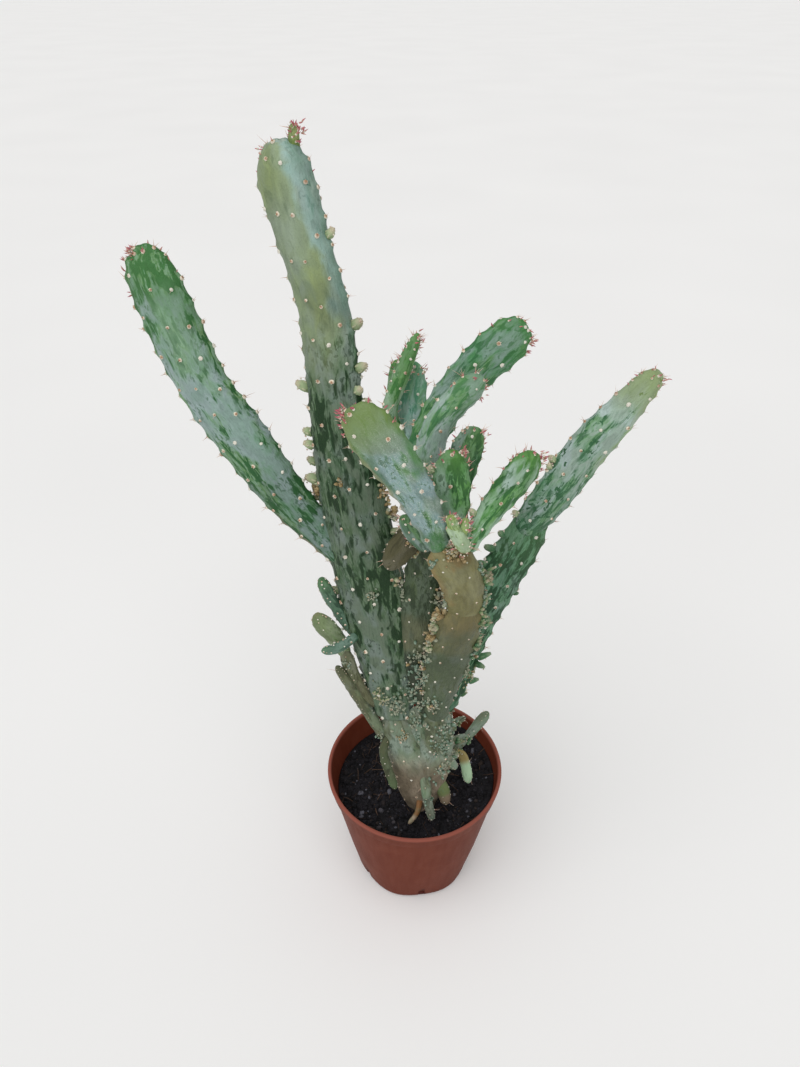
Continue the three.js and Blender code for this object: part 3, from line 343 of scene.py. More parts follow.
LOOKS = {
    "trunk_base": {
        "pale": "#94a98f", "bloom": "#a3b5a4", "streak": "#627f62", "dark": "#475f4a", "bark": 0.118,
        "cover": (0.3, 0.4), "tip_share": 0.0, "bumps": 0.5, "spiny": 0.25, "felt": 0.65,
        "level": (0.84, 0.74), "soft": 0.1, "grime": 0.5, "tuft": 5, "bud_kinds": (0.9, 0.9),
        "lime": "#7c8f62",
        "kinds": [(2, "#85603c", "#a8937c"), (3, "#98895a", "#a9c6a4"), (5, "#6d7a50", "#857663")]},
    "main_stem": {
        "pale": "#8ba087", "bloom": "#9fb2a6", "streak": "#4b6e4c", "dark": "#264426",
        "grain": 0.8, "lines": 0.95, "veins": 0.6, "tip_share": 0.0, "bumps": 1.3, "spacing": 1.3,
        "cover": [(0.0, 0.46), (0.25, 0.56), (0.62, 0.54), (0.72, 0.38), (0.8, 0.1)],
        "spiny": 0.6, "lime": "#5c7a4e", "bud_kinds": (0.3, 0.3), "leafy": 0.35, "crown": 180,
        "level": [(0.0, 0.61), (0.5, 0.56), (0.68, 0.65), (0.74, 0.85), (0.9, 1.0)],
        "blush": 0.8, "kinds": [(4, "#6f8446", "#93a36a")],
        "washes": [
            ("#8b9a72", 0.7, 1.1, -1.2, 0.45, 0.7), ("#8d9c64", 0.74, 0.86, 0.0, 0.8, 0.6),
            ("#94a56e", 0.93, 1.0, -0.8, 0.1, 0.7), ("#93b0ab", 0.78, 1.1, 0.5, 1.0, 0.8),
            ("#93a392", 0.84, 0.93, -0.9, 0.3, 0.5), ("#4f7a66", 0.72, 1.1, 0.85, 1.2, 0.6)]},
    "left_pad": {
        "pale": "#96b2a8", "bloom": "#a4bab8", "streak": "#548359", "dark": "#2f6135", "tip": "#5c9150",
        "cover": [(0.0, 0.66), (0.3, 0.63), (0.42, 0.47), (0.62, 0.43), (0.76, 0.55), (0.92, 0.76)],
        "tip_from": 0.82, "tip_share": 0.3, "leafy": 0.9, "blush": 0.6, "spacing": 1.2, "lines": 1.0,
        "lime": "#6a8f54", "green_margin": 1.0, "veins": 0.4, "crown": 180,
        "level": [(0.0, 0.67), (0.3, 0.75), (0.5, 0.94), (1.0, 1.02)],
        "washes": [("#a08a6c", -0.1, 0.22, -1.2, -0.75, 0.8), ("#8dab92", 0.66, 0.9, -0.4, 0.7, 0.5)]},
    "right_pad_lower": {
        "pale": "#789e86", "bloom": "#8cac9a", "streak": "#477455", "dark": "#26492f", "lime": "#557f59",
        "lines": 0.95, "veins": 0.45, "bud_kinds": (0.0, 0.0),
        "cover": (0.72, 0.64)},
    "right_pad_upper": {
        "pale": "#a0b6a8", "bloom": "#afc3be", "streak": "#4c7b5a", "dark": "#33613f", "tip": "#8d9f5c",
        "cover": [(0.0, 0.72), (0.22, 0.6), (0.35, 0.46), (0.6, 0.44), (0.75, 0.22), (1.0, 0.2)],
        "tip_share": 0.6, "leafy": 0.6, "blush": 0.7, "lime": "#6a9460", "dashes": 0.95,
        "washes": [("#96aa6e", 0.5, 1.05, 0.65, 1.2, 0.6), ("#8f9f68", 0.8, 1.1, -1.2, 1.2, 0.45)]},
    "front_pad_lower": {
        "pale": "#68775a", "bloom": "#788671", "streak": "#5d6a4c", "dark": "#485639",
        "felt": 0.6, "spiny": 0.3,
        "cover": (0.45, 0.3), "tip_share": 0.0, "soft": 0.12, "bud_kinds": (0.15, 0.5), "tuft": 5,
        "lines": 0.5, "dashes": 0.4, "lime": "#6a7550",
        "level": [(0.0, 0.58), (0.6, 0.62), (1.0, 0.8)],
        "washes": [("#7e7a55", 0.66, 1.3, -1.6, 1.6, 0.6), ("#8b8259", 0.84, 1.3, -1.6, 1.6, 0.95),
            ("#6f8266", -0.1, 0.35, -1.2, 1.2, 0.5)]},
    "front_pad_upper": {
        "pale": "#868358", "bloom": "#91906a", "streak": "#7e7b4e", "dark": "#6f6c42", "tip": "#8e7c50",
        "cover": (0.25, 0.15), "bumps": 0.5, "spiny": 0.3, "felt": 0.55, "soft": 0.12,
        "lines": 0.3, "dashes": 0.15, "lime": "#85804f", "tuft": 5,
        "level": (0.78, 0.86), "bud_kinds": (0.15, 0.5),
        "washes": [("#86693c", 0.78, 1.0, 0.15, 0.85, 0.7), ("#a98a5a", 0.3, 1.0, -1.2, -0.82, 0.6)]},
    "back_stem": {
        "pale": "#66785e", "bloom": "#74856f", "streak": "#47583e", "dark": "#35442f",
        "cover": [(0.0, 0.4), (0.6, 0.65), (1.0, 0.6)], "tip_share": 0.0, "felt": 0.7, "spiny": 0.3,
        "level": [(0.0, 0.7), (0.6, 0.8), (1.0, 0.8)], "veins": 0.45, "lime": "#56663f", "tuft": 4,
        "bud_kinds": (0.9, 0.9),
        # The dark second wash is painted shadow over the lower third of the stem.
        "washes": [("#75785c", 0.36, 0.52, -1.2, 1.2, 0.8), ("#33392c", -0.2, 0.33, -1.2, 1.2, 0.85)]},
    "centre_pad": {
        "pale": "#93aa9c", "bloom": "#96b2b2", "streak": "#4c7c4c", "dark": "#356338", "tip": "#7b9351",
        "cover": [(0.0, 0.5), (0.35, 0.32), (0.7, 0.3), (1.0, 0.3)], "tip_from": 0.8, "tip_share": 0.85,
        "leafy": 1.2, "frost": 1.0, "blush": 0.75, "crown": 180, "lines": 0.65, "dashes": 0.6,
        "level": [(0.0, 0.9), (0.6, 0.92), (1.0, 0.9)],
        "washes": [
            ("#3f6f3c", 0.5, 0.76, -1.2, -0.5, 0.85), ("#4d8044", 0.55, 1.0, 0.72, 1.2, 0.85),
            ("#477a46", 0.0, 0.2, -0.8, 0.9, 0.75), ("#c0b088", 0.3, 0.95, -1.2, -0.9, 0.7)]},
    "centre_small_pad": {"pale": "#5d7f66", "cover": (0.65, 0.6), "leafy": 0.3},
    "bud_sprout": {
        "pale": "#a5bc94", "bloom": "#b7cfae", "streak": "#8fa860", "dark": "#6f8a4a", "tip": "#97934e",
        "cover": (0.4, 0.5), "tip_share": 0.3, "leafy": 0.3, "lime": "#8ea05a", "blush": 0.9},
    "right_sprout": {
        "pale": "#a0c0a4", "bloom": "#b0cabc", "streak": "#518846", "dark": "#316435", "tip": "#5f9446",
        "cover": [(0.0, 0.35), (0.35, 0.45), (0.7, 0.75), (1.0, 0.85)], "tip_share": 0.5, "leafy": 0.8,
        "lime": "#5f9040", "lines": 0.9, "soft": 0.08, "green_margin": 1.0},
    "middle_pad": {
        "pale": "#8fb394", "bloom": "#a3c2ab", "streak": "#4c8048", "dark": "#26512a", "tip": "#5a8f40",
        "cover": (0.5, 0.7), "tip_share": 0.6, "lime": "#5a8f42", "leafy": 0.7},
    "middle_pad_behind": {
        "pale": "#799a80", "streak": "#3f6a41", "dark": "#2b5230", "tip": "#4f7c40",
        "cover": (0.6, 0.6), "leafy": 0.6},
    "upper_pad_front": {
        "pale": "#98b0a4", "bloom": "#a6bab4", "streak": "#588c5c", "dark": "#3f7248", "tip": "#4f8b46",
        "cover": [(0.0, 0.15), (0.5, 0.3), (1.0, 0.5)], "tip_share": 0.4, "leafy": 0.7,
        "washes": [("#9a9468", 0.25, 0.45, -1.0, -0.2, 0.5)]},
    "upper_pad_back": {
        "pale": "#8ba89a", "bloom": "#9ab2ac", "streak": "#44804c", "dark": "#2f653c", "tip": "#4f8c42",
        "cover": [(0.0, 0.45), (0.5, 0.45), (1.0, 0.66)], "tip_share": 0.4, "leafy": 0.8},
    "pale_pad": {
        "pale": "#9cbcae", "bloom": "#abc6c0", "streak": "#6fa592", "dark": "#528a70",
        "cover": (0.5, 0.45), "leafy": 0.2},
    "narrow_pad": {
        "pale": "#7fa57c", "bloom": "#a0bea0", "streak": "#4d8446", "dark": "#3a6f38", "tip": "#6a9a52",
        "cover": [(0.0, 0.35), (0.4, 0.45), (1.0, 0.65)], "leafy": 0.5},
    "brown_pad": {
        "pale": "#6d6a4c", "bloom": "#7d7a62", "streak": "#5a573a", "dark": "#47462f",
        "cover": (0.4, 0.4), "tip_share": 0.0, "spiny": 0.3, "felt": 0.6,
        "level": (0.6, 0.64), "tuft": 3, "bud_kinds": (0.5, 0.5), "lime": "#666345"},
    "side_stalk": {
        "pale": "#7c8066", "bloom": "#8a8d76", "streak": "#656c4e", "dark": "#4c523a", "lime": "#6f7450",
        "cover": (0.5, 0.5), "tip_share": 0.0, "bumps": 3.0, "spacing": 0.55, "spiny": 0.1,
        "felt": 0.6, "grime": 0.3, "level": (0.8, 0.95)},
    "side_pad": {
        "pale": "#7d8e66", "bloom": "#8b9a7a", "streak": "#708254", "dark": "#5f7148", "tip": "#a8604c",
        "cover": (0.4, 0.3), "tip_from": 1.08, "tip_share": 0.9, "spiny": 0.15, "felt": 0.75},
    "side_shoot_upper": {
        "pale": "#67836f", "bloom": "#7a9486", "streak": "#44634c", "dark": "#2e4738", "lime": "#4f6f52",
        "cover": (0.55, 0.5), "spiny": 0.0, "felt": 0.9, "bumps": 3.0, "spacing": 0.6},
    "side_shoot_lower": {
        "pale": "#648270", "bloom": "#799586", "streak": "#43664e", "dark": "#2f533e", "lime": "#4f785a",
        "cover": (0.55, 0.5), "spiny": 0.0, "felt": 0.9, "bumps": 3.0, "spacing": 0.6},
    "edge_shoot_up": {
        "pale": "#78866c", "bloom": "#859383", "streak": "#626f52", "dark": "#4b573f", "lime": "#6d7550",
        "cover": (0.5, 0.45), "tip_share": 0.0, "spiny": 0.1, "felt": 0.5, "grime": 0.45,
        "bumps": 3.0, "spacing": 0.6},
    "edge_shoot_down": {
        "pale": "#5c6849", "bloom": "#68755a", "streak": "#474f38", "dark": "#353b2a", "lime": "#555f3e",
        "cover": (0.6, 0.5), "tip": "#58714e", "tip_from": 0.75, "tip_share": 0.9, "spiny": 0.1,
        "felt": 0.55, "grime": 0.3, "bumps": 2.5, "spacing": 0.7, "level": (0.8, 0.95)},
}


def colour_of(value):
    """Linear red, green, blue and alpha, from a code such as "#6f9a7c", a grey level or the three."""
    if isinstance(value, str):
        parts = [int(value[k:k + 2], 16) / 255 for k in (1, 3, 5)]
        value = [c / 12.92 if c <= 0.04045 else ((c + 0.055) / 1.055) ** 2.4 for c in parts]
    elif isinstance(value, (int, float)):
        value = [value] * 3
    return (*value[:3], 1.0)


def unit(rows):
    """Each row of an array at length 1."""
    return rows / np.linalg.norm(rows, axis=-1, keepdims=True)


def signed_power(value, power):
    return np.sign(value) * np.abs(value) ** power


def hermite(start, end, leave, arrive, weight):
    """A cubic from start to end, with the slopes that it leaves and arrives with."""
    square = 3 * (end - start) - 2 * leave - arrive
    cube = 2 * (start - end) + leave + arrive
    return start + weight * (leave + weight * (square + weight * cube))


def eased(values, low, high):
    """How far each value has come from low to high, eased at both ends."""
    share = np.clip((values - low) / (high - low), 0, 1)
    return share * share * (3 - 2 * share)


def clamp(value, low=0, high=1):
    return min(high, max(low, value))


def on_margin(angle):
    """Whether an angle round a stem lies on one of its two margins."""
    return abs(math.sin(math.radians(angle))) < MARGIN_SINE


def stray(chance, spread):
    """A random way, spread as much in each direction."""
    return Vector([chance.gauss(0, spread) for _ in range(3)])


class Stem:
    """One stem segment: its route, widths and facing, in metres, by the share u of its length."""

    def __init__(self, index, entry):
        table = np.array(entry["points"], float) * MM
        table[0, :3] -= unit(table[1:2, :3] - table[:1, :3])[0] * entry.get("sink", 0) * MM
        self.seed = index
        self.entry = entry
        self.node = entry["node"]
        self.look = {**PLAIN_LOOK, **LOOKS[self.node], **entry.get("look", {})}
        self.shoot = entry.get("shoot", False)
        self.knots = table[:, :3]
        self.widths = table[:, 3]
        self.widest = float(self.widths.max())
        self.thick = entry["thick"] * MM
        turn = math.radians(entry.get("face", 0))
        self.facing = np.array([math.sin(turn), -math.cos(turn), 0.0])
        self.marks = np.linspace(0, 1, ROUTE_MARKS + 1)
        steps = np.linalg.norm(np.diff(self.curve(self.marks), axis=0), axis=1)
        self.reach = np.concatenate([[0], np.cumsum(steps)])
        self.length = self.reach[-1]
        self.root_round = entry.get("root", ROOT_ROUNDING) * self.widths[0]
        self.tip_round = TIP_ROUNDING * self.widths[-1]

    def spans(self, t):
        """The span of the route that each t lies in, and how far along that span it is."""
        place = np.clip(t, 0, 1) * (len(self.knots) - 1)
        index = np.minimum(place.astype(int), len(self.knots) - 2)
        return index, place - index

    def curve(self, t):
        """Points of a centripetal Catmull-Rom curve through the knots, at t from 0 to 1."""
        index, weight = self.spans(np.asarray(t, float))
        first = 2 * self.knots[0] - self.knots[1]
        last = 2 * self.knots[-1] - self.knots[-2]
        knots = np.vstack([first, self.knots, last])
        a, b, c, d = (knots[index + k] for k in range(4))
        ab, bc, cd = (np.sqrt(np.linalg.norm(q - p, axis=1))[:, None] for p, q in ((a, b), (b, c), (c, d)))
        leave = ((b - a) / ab - (c - a) / (ab + bc) + (c - b) / bc) * bc
        arrive = ((c - b) / bc - (d - b) / (bc + cd) + (d - c) / cd) * bc
        return hermite(b, c, leave, arrive, weight[:, None])

    def width(self, t):
        index, weight = self.spans(np.asarray(t, float))
        widths = np.concatenate([self.widths[:1], self.widths, self.widths[-1:]])
        a, b, c, d = (widths[index + k] for k in range(4))
        return hermite(b, c, (c - a) / 2, (d - b) / 2, weight)

    def sections(self, u):
        """Middle, along, out, side, half width and half thickness of the sections at u."""
        u = np.atleast_1d(np.asarray(u, float))
        t = np.interp(u * self.length, self.reach, self.marks)
        small = 1e-4
        along = unit(self.curve(np.minimum(t + small, 1)) - self.curve(np.maximum(t - small, 0)))
        out = unit(self.facing - along * (along @ self.facing)[:, None])
        from_root = np.clip(u * self.length / self.root_round, 0, 1)
        from_tip = np.clip((1 - u) * self.length / self.tip_round, 0, 1)
        rounding = np.sqrt(1 - (1 - from_root) ** 2) * np.sqrt(1 - (1 - from_tip) ** 2)
        width = self.width(t)
        half_thick = self.thick * width / np.hypot(self.thick, width) / 2 * rounding
        return self.curve(t), along, out, np.cross(along, out), width / 2 * rounding, half_thick

    def skin_points(self, u, degrees):
        """Points of the skin at u and an angle round it, the way out there, and the way to the tip."""
        middle, along, out, side, half_width, half_thick = self.sections(u)
        angle = np.radians(degrees)
        across = signed_power(np.cos(angle), 2 / SECTION_POWER) * half_width
        over = signed_power(np.sin(angle), 2 / SECTION_POWER) * half_thick
        point = middle + side * across[:, None] + out * over[:, None]
        lean_side = np.cos(angle) / (half_width + 0.1 * MM)
        lean_out = np.sin(angle) / (half_thick + 0.1 * MM)
        return point, unit(side * lean_side[:, None] + out * lean_out[:, None]), along

    def unbend(self, points):
        """Points as on a straight stem: share, then across, over and along, and across by half width."""
        shares = np.linspace(0, 1, ROUTE_MARKS + 1)
        middle, along, out, side, half_width, _ = self.sections(shares)
        nearest = ((points[:, None, :] - middle[None, :, :]) ** 2).sum(axis=2).argmin(axis=1)
        away = points - middle[nearest]
        ahead = (away * along[nearest]).sum(axis=1)
        u = np.clip(shares[nearest] + ahead / self.length, 0, 1)
        across = (away * side[nearest]).sum(axis=1)
        over = (away * out[nearest]).sum(axis=1)
        return u, across, over, u * self.length, across / (half_width[nearest] + 0.5 * MM)

    def holds(self, points, margin):
        """Which points lie inside this stem, if it were larger by margin."""
        steps = math.ceil(self.length / (2 * MM))
        middle, along, out, side, half_width, half_thick = self.sections(np.linspace(0, 1, steps + 1))
        away = points[:, None, :] - middle[None, :, :]
        ahead = np.abs((away * along).sum(axis=2))
        across = (away * side).sum(axis=2) / (half_width + margin)
        over = (away * out).sum(axis=2) / (half_thick + margin)
        close = ahead <= self.length / steps / 2 + margin
        return (close & (across ** 2 + over ** 2 < 1)).any(axis=1)


PLANT = [Stem(index, entry) for index, entry in enumerate(STEMS)]


def clear_of_others(stem, points, margin):
    """Which points lie outside every other stem and above the soil."""
    free = points[:, 2] > SOIL_LEVEL + SOIL_GAP_ABOVE
    for other in PLANT:
        if other is not stem:
            free &= ~other.holds(points, margin)
    return free


class Wire:
    """A node's output. Used in an expression, it adds the Math nodes that work the expression out."""

    def __init__(self, finish, socket):
        self.finish = finish
        self.socket = socket

    def maths(self, operation, *values):
        return self.finish.node("ShaderNodeMath", {"operation": operation}, values)

    def __add__(self, other):
        return self.maths("ADD", self, other)

    __radd__ = __add__

    def __sub__(self, other):
        return self.maths("SUBTRACT", self, other)

    def __rsub__(self, other):
        return self.maths("SUBTRACT", other, self)

    def __mul__(self, other):
        return self.maths("MULTIPLY", self, other)

    __rmul__ = __mul__


class Finish:
    """A material in the making. Every node comes from the one method, node."""

    def __init__(self, name):
        self.material = bpy.data.materials.new(name)
        self.material.use_nodes = True
        self.tree = self.material.node_tree
        self.tree.nodes.clear()
        self.shader = self.tree.nodes.new("ShaderNodeBsdfPrincipled")
        output = self.tree.nodes.new("ShaderNodeOutputMaterial")
        self.tree.links.new(self.shader.outputs["BSDF"], output.inputs["Surface"])

    def feed(self, socket, value):
        if isinstance(value, Wire):
            self.tree.links.new(value.socket, socket)
        else:
            socket.default_value = value

    def node(self, kind, settings=None, inputs=(), output=0):
        """Adds a node, makes its settings, then feeds its sockets, by number or name."""
        node = self.tree.nodes.new(kind)
        for name, value in (settings or {}).items():
            if name == "stops":
                ramp = node.color_ramp
                while len(ramp.elements) < len(value):
                    ramp.elements.new(0.5)
                for element, (place, colour) in zip(ramp.elements, value):
                    element.position = place
                    element.color = colour
            else:
                setattr(node, name, value)
        for key, value in inputs.items() if isinstance(inputs, dict) else enumerate(inputs):
            self.feed(node.inputs[key], value)
        return Wire(self, node.outputs[output])

    def number(self, name):
        """A number that is stored for each vertex."""
        return self.node("ShaderNodeAttribute", {"attribute_name": name}, output="Fac")

    def vector(self, name):
        """Three numbers that are stored for each vertex."""
        return self.node("ShaderNodeAttribute", {"attribute_name": name}, output="Vector")

    def object_place(self):
        return self.node("ShaderNodeTexCoord", output="Object")

    def split(self, vector):
        """A vector's three numbers, from one Separate XYZ node."""
        first = self.node("ShaderNodeSeparateXYZ", None, [vector])
        return [Wire(self, socket) for socket in first.socket.node.outputs]

    def stretch(self, vector, factors):
        return self.node("ShaderNodeVectorMath", {"operation": "MULTIPLY"}, [vector, factors])

    def noise(self, vector, size, detail=2.0, roughness=0.5, distortion=0.0):
        """Noise with about this many lumps to the metre: one number, or one for each axis."""
        sizes = size if isinstance(size, tuple) else (size, size, size)
        return self.node("ShaderNodeTexNoise", None, {
            "Vector": self.stretch(vector, sizes), "Scale": 1.0, "Detail": detail, "Roughness": roughness,
            "Distortion": distortion})

    def smooth(self, value, low, high):
        """0 below low and 1 above high, with a soft step between."""
        settings = {"interpolation_type": "SMOOTHSTEP"}
        return self.node("ShaderNodeMapRange", settings, [value, low, high, 0.0, 1.0])

    def band(self, value, low, high, edge):
        """1 between low and high, with soft edges."""
        rise = self.smooth(value, low - edge, low + edge)
        return rise * (1 - self.smooth(value, high - edge, high + edge))

    def ramp(self, value, stops):
        """A ramp of colours or grey levels: two of them, for 0 and 1, or a list of places and colours."""
        if not isinstance(stops[0], tuple):
            stops = zip((0, 1), stops)
        stops = [(place, colour_of(colour)) for place, colour in stops]
        return self.node("ShaderNodeValToRGB", {"stops": stops}, [value])

    def mix(self, factor, first, second, blend="MIX"):
        first, second = (c if isinstance(c, Wire) else colour_of(c) for c in (first, second))
        settings = {"data_type": "RGBA", "blend_type": blend}
        return self.node("ShaderNodeMix", settings, {0: factor, 6: first, 7: second}, output=2)

    def shaded(self, colour, shade):
        """A colour multiplied by a shade."""
        return self.mix(1.0, colour, shade, "MULTIPLY")

    def done(self, colour, roughness, height=None, depth=0.0002, shine=0.3):
        """Feeds the shader. height is what bumps the surface, and depth is how far, in metres."""
        self.shader.inputs["Specular IOR Level"].default_value = shine
        self.feed(self.shader.inputs["Base Color"], colour)
        self.feed(self.shader.inputs["Roughness"], roughness)
        if height is not None:
            inputs = {"Strength": 1.0, "Distance": depth, "Height": height}
            self.feed(self.shader.inputs["Normal"], self.node("ShaderNodeBump", None, inputs))
        return self.material


def start_afresh():
    """Object mode with nothing selected, so that the next operator acts on its own new mesh alone."""
    if bpy.context.object is not None and bpy.context.object.mode != "OBJECT":
        bpy.ops.object.mode_set(mode="OBJECT")
    bpy.ops.object.select_all(action="DESELECT")


def edit(piece):
    """Edit mode, with all of the piece selected."""
    bpy.context.view_layer.objects.active = piece
    bpy.ops.object.mode_set(mode="EDIT")
    bpy.ops.mesh.select_all(action="SELECT")


def pick(piece, rule):
    """Selects the vertices, in edit mode, whose place meets the rule."""
    mesh = bmesh.from_edit_mesh(piece.data)
    for vertex in mesh.verts:
        vertex.select = bool(rule(vertex.co))
    mesh.select_flush_mode()
    bmesh.update_edit_mesh(piece.data)


def close_up():
    """Turns the faces of what is being edited outwards, and leaves edit mode."""
    bpy.ops.mesh.select_all(action="SELECT")
    bpy.ops.mesh.normals_make_consistent(inside=False)
    start_afresh()


def roughen(piece, offset, seed):
    """Moves each vertex a little at random."""
    edit(piece)
    bpy.ops.transform.vertex_random(offset=offset, seed=seed)
    start_afresh()


def shade(piece, angle=None):
    """Smooth shading, all over or only where faces meet at less than an angle in degrees."""
    start_afresh()
    piece.select_set(True)
    bpy.context.view_layer.objects.active = piece
    if angle is None:
        bpy.ops.object.shade_smooth()
    else:
        bpy.ops.object.shade_smooth_by_angle(angle=math.radians(angle))


def apply_modifier(piece, kind, **settings):
    """Adds a modifier with these settings and applies it."""
    bpy.context.view_layer.objects.active = piece
    modifier = piece.modifiers.new(kind.title(), kind)
    for name, value in settings.items():
        setattr(modifier, name, value)
    bpy.ops.object.modifier_apply(modifier=modifier.name)


def displace(piece, height, weights=None, lump_size=None, least=0.001):
    """Moves vertices out by height, times their weight, or in and out by lumps of a size."""
    settings = {"strength": height, "mid_level": 0.0}
    if lump_size is not None:
        clouds = bpy.data.textures.new("lumps", "CLOUDS")
        clouds.noise_scale = lump_size
        settings.update(texture=clouds, mid_level=0.5)
    if weights is not None:
        group = piece.vertex_groups.new(name="moved")
        for index in np.flatnonzero(weights > least):
            group.add([int(index)], float(weights[index]), "REPLACE")
        settings["vertex_group"] = group.name
    apply_modifier(piece, "DISPLACE", **settings)
    piece.vertex_groups.clear()


def join(pieces, name):
    """Several meshes in one object."""
    start_afresh()
    for piece in pieces:
        piece.select_set(True)
    bpy.context.view_layer.objects.active = pieces[0]
    if len(pieces) > 1:
        bpy.ops.object.join()
    pieces[0].name = name
    pieces[0].data.name = name
    return pieces[0]


def store(piece, name, values):
    """Keeps a number, or three, for each vertex."""
    values = np.asarray(values, np.float32)
    kind, field = ("FLOAT_VECTOR", "vector") if values.ndim == 2 else ("FLOAT", "value")
    layer = piece.data.attributes.get(name) or piece.data.attributes.new(name, kind, "POINT")
    layer.data.foreach_set(field, values.ravel())


def points_of(piece):
    places = np.zeros(len(piece.data.vertices) * 3, np.float32)
    piece.data.vertices.foreach_get("co", places)
    return places.reshape(-1, 3).astype(float)


def dress(piece, material, node=None):
    """Gives a finished piece its material and its place in the frame."""
    piece.data.materials.clear()
    piece.data.materials.append(material)
    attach(piece, BODY)
    if node is not None:
        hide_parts(node)


def turn_selection(middle, turn):
    """Turns what is selected about a point. With no window, the operator turns the other way."""
    for axis, angle in zip("XYZ", turn.to_euler("XYZ")):
        bpy.ops.transform.rotate(value=-angle, orient_axis=axis, center_override=middle)


def carry_ring(before, after):
    """Takes the selected ring from one section to the next: resized, turned and moved."""
    middle, frame_then, wide, thick = before
    next_middle, frame_now, next_wide, next_thick = after
    bpy.ops.transform.resize(
        value=(next_wide / wide, next_thick / thick, 1), orient_type="GLOBAL",
        orient_matrix=frame_then.transposed(), orient_matrix_type="GLOBAL", center_override=middle)
    turn_selection(middle, frame_now @ frame_then.transposed())
    bpy.ops.transform.translate(value=next_middle - middle)


def ring_places(stem, step):
    """The shares of a stem's length where its rings lie, closer together at its round ends."""
    even = np.linspace(0, 1, max(9, round(stem.length / step)))
    crowded = (1 - np.cos(math.pi * even)) / 2
    first = CAP_SHARE * stem.root_round / stem.length
    last = 1 - CAP_SHARE * stem.tip_round / stem.length
    return first + (last - first) * (even + END_CROWDING * (crowded - even))


def grow_skin(stem, step):
    """Extrudes a ring of skin from a stem's root to its tip, turned and widened to each section."""
    middle, along, out, side, half_width, half_thick = stem.sections(ring_places(stem, step))
    rings = []
    for k, centre in enumerate(middle):
        axes = Matrix((side[k], out[k], -along[k])).transposed()
        rings.append((Vector(centre), axes, half_width[k] * CAGE_SWELL, half_thick[k] * CAGE_SWELL))
    start_afresh()
    bpy.ops.mesh.primitive_circle_add(vertices=CAGE_SIDES, radius=1, fill_type="NGON")
    skin = bpy.context.object
    edit(skin)
    carry_ring((Vector(), Matrix.Identity(3), 1, 1), rings[0])
    for before, after in zip(rings, rings[1:]):
        bpy.ops.mesh.extrude_region_move()
        carry_ring(before, after)
    close_up()
    return skin


def turn_up(sides, rings):
    """A closed round body, extruded from ring to ring: each a height, a radius and a drift to one side."""
    height, radius, drift = rings[0]
    start_afresh()
    bpy.ops.mesh.primitive_circle_add(
        vertices=sides, radius=radius, fill_type="NGON", location=(drift, 0, height))
    body = bpy.context.object
    bpy.ops.object.transform_apply(location=True, rotation=True, scale=True)
    edit(body)
    for (height, radius, drift), (next_height, next_radius, next_drift) in zip(rings, rings[1:]):
        bpy.ops.mesh.extrude_region_move()
        grow = next_radius / radius
        bpy.ops.transform.resize(value=(grow, grow, 1), center_override=(drift, 0, height))
        bpy.ops.transform.translate(value=(next_drift - drift, 0, next_height - height))
    close_up()
    return body


def turn_profile(name, sides, profile):
    """A closed round body, turned from a section of (radius, height) points."""
    body = turn_up(sides, [(height, radius, 0) for radius, height in profile])
    body.name = name
    body.data.name = name
    return body


def grow_stalk(sides, rings):
    """A round body whose tone rises with its height."""
    stalk = turn_up(sides, rings)
    heights = points_of(stalk)[:, 2]
    store(stalk, "tone", heights / heights.max())
    return stalk


def paint(piece, tone):
    """Gives all of a piece the same tone."""
    store(piece, "tone", np.full(len(piece.data.vertices), float(tone)))


def copy_round(piece, count, radius, height, tilt):
    """Copies of a piece stood round the Z axis on a ring, leaning out by tilt degrees. The piece goes."""
    copies = []
    for k in range(count):
        start_afresh()
        piece.select_set(True)
        bpy.context.view_layer.objects.active = piece
        bpy.ops.object.duplicate()
        copy = bpy.context.object
        copy.matrix_world = (
            Matrix.Rotation(2 * math.pi * k / count, 4, "Z") @ Matrix.Translation((radius, 0, height))
            @ Matrix.Rotation(math.radians(tilt), 4, "Y"))
        bpy.ops.object.transform_apply(location=True, rotation=True, scale=True)
        copies.append(copy)
    bpy.data.objects.remove(piece)
    return copies


def read_out(*pieces):
    """A template's points, faces and tones, from its pieces, which are then deleted."""
    piece = join(pieces, "template")
    points = points_of(piece)
    faces = [tuple(polygon.vertices) for polygon in piece.data.polygons]
    tones = np.zeros(len(points), np.float32)
    piece.data.attributes["tone"].data.foreach_get("value", tones)
    bpy.data.objects.remove(piece)
    return points, faces, tones


def stand(point, up, size, chance=None):
    """The place of a copy: its own Z along up, turned about it at random, sized along its X, Y and Z."""
    spin = chance.uniform(0, ANY_SPIN) if chance else 0.0
    turn = Vector(up).to_track_quat("Z", "Y").to_matrix() @ Matrix.Rotation(spin, 3, "Z")
    place = (turn @ Matrix.Diagonal(size)).to_4x4()
    place.translation = point
    return np.array(place)


def scatter(name, template, places, seed):
    """One mesh of copies of a template. Each place is a matrix and a kind, which colours that copy."""
    points, faces, tones = template
    matrices = np.array([matrix for matrix, _ in places])
    moved = np.einsum("nij,kj->nki", matrices[:, :3, :3], points) + matrices[:, None, :3, 3]
    starts = [copy * len(points) for copy in range(len(places))]
    copied = [[start + corner for corner in face] for start in starts for face in faces]
    mesh = bpy.data.meshes.new(name)
    mesh.from_pydata(moved.reshape(-1, 3), [], copied)
    mesh.shade_smooth()
    piece = bpy.data.objects.new(name, mesh)
    bpy.context.collection.objects.link(piece)
    chances = np.random.default_rng(seed).random(len(places))
    store(piece, "tone", np.tile(tones, len(places)))
    store(piece, "kind", np.repeat([kind for _, kind in places], len(points)))
    store(piece, "chance", np.repeat(chances, len(points)))
    return piece


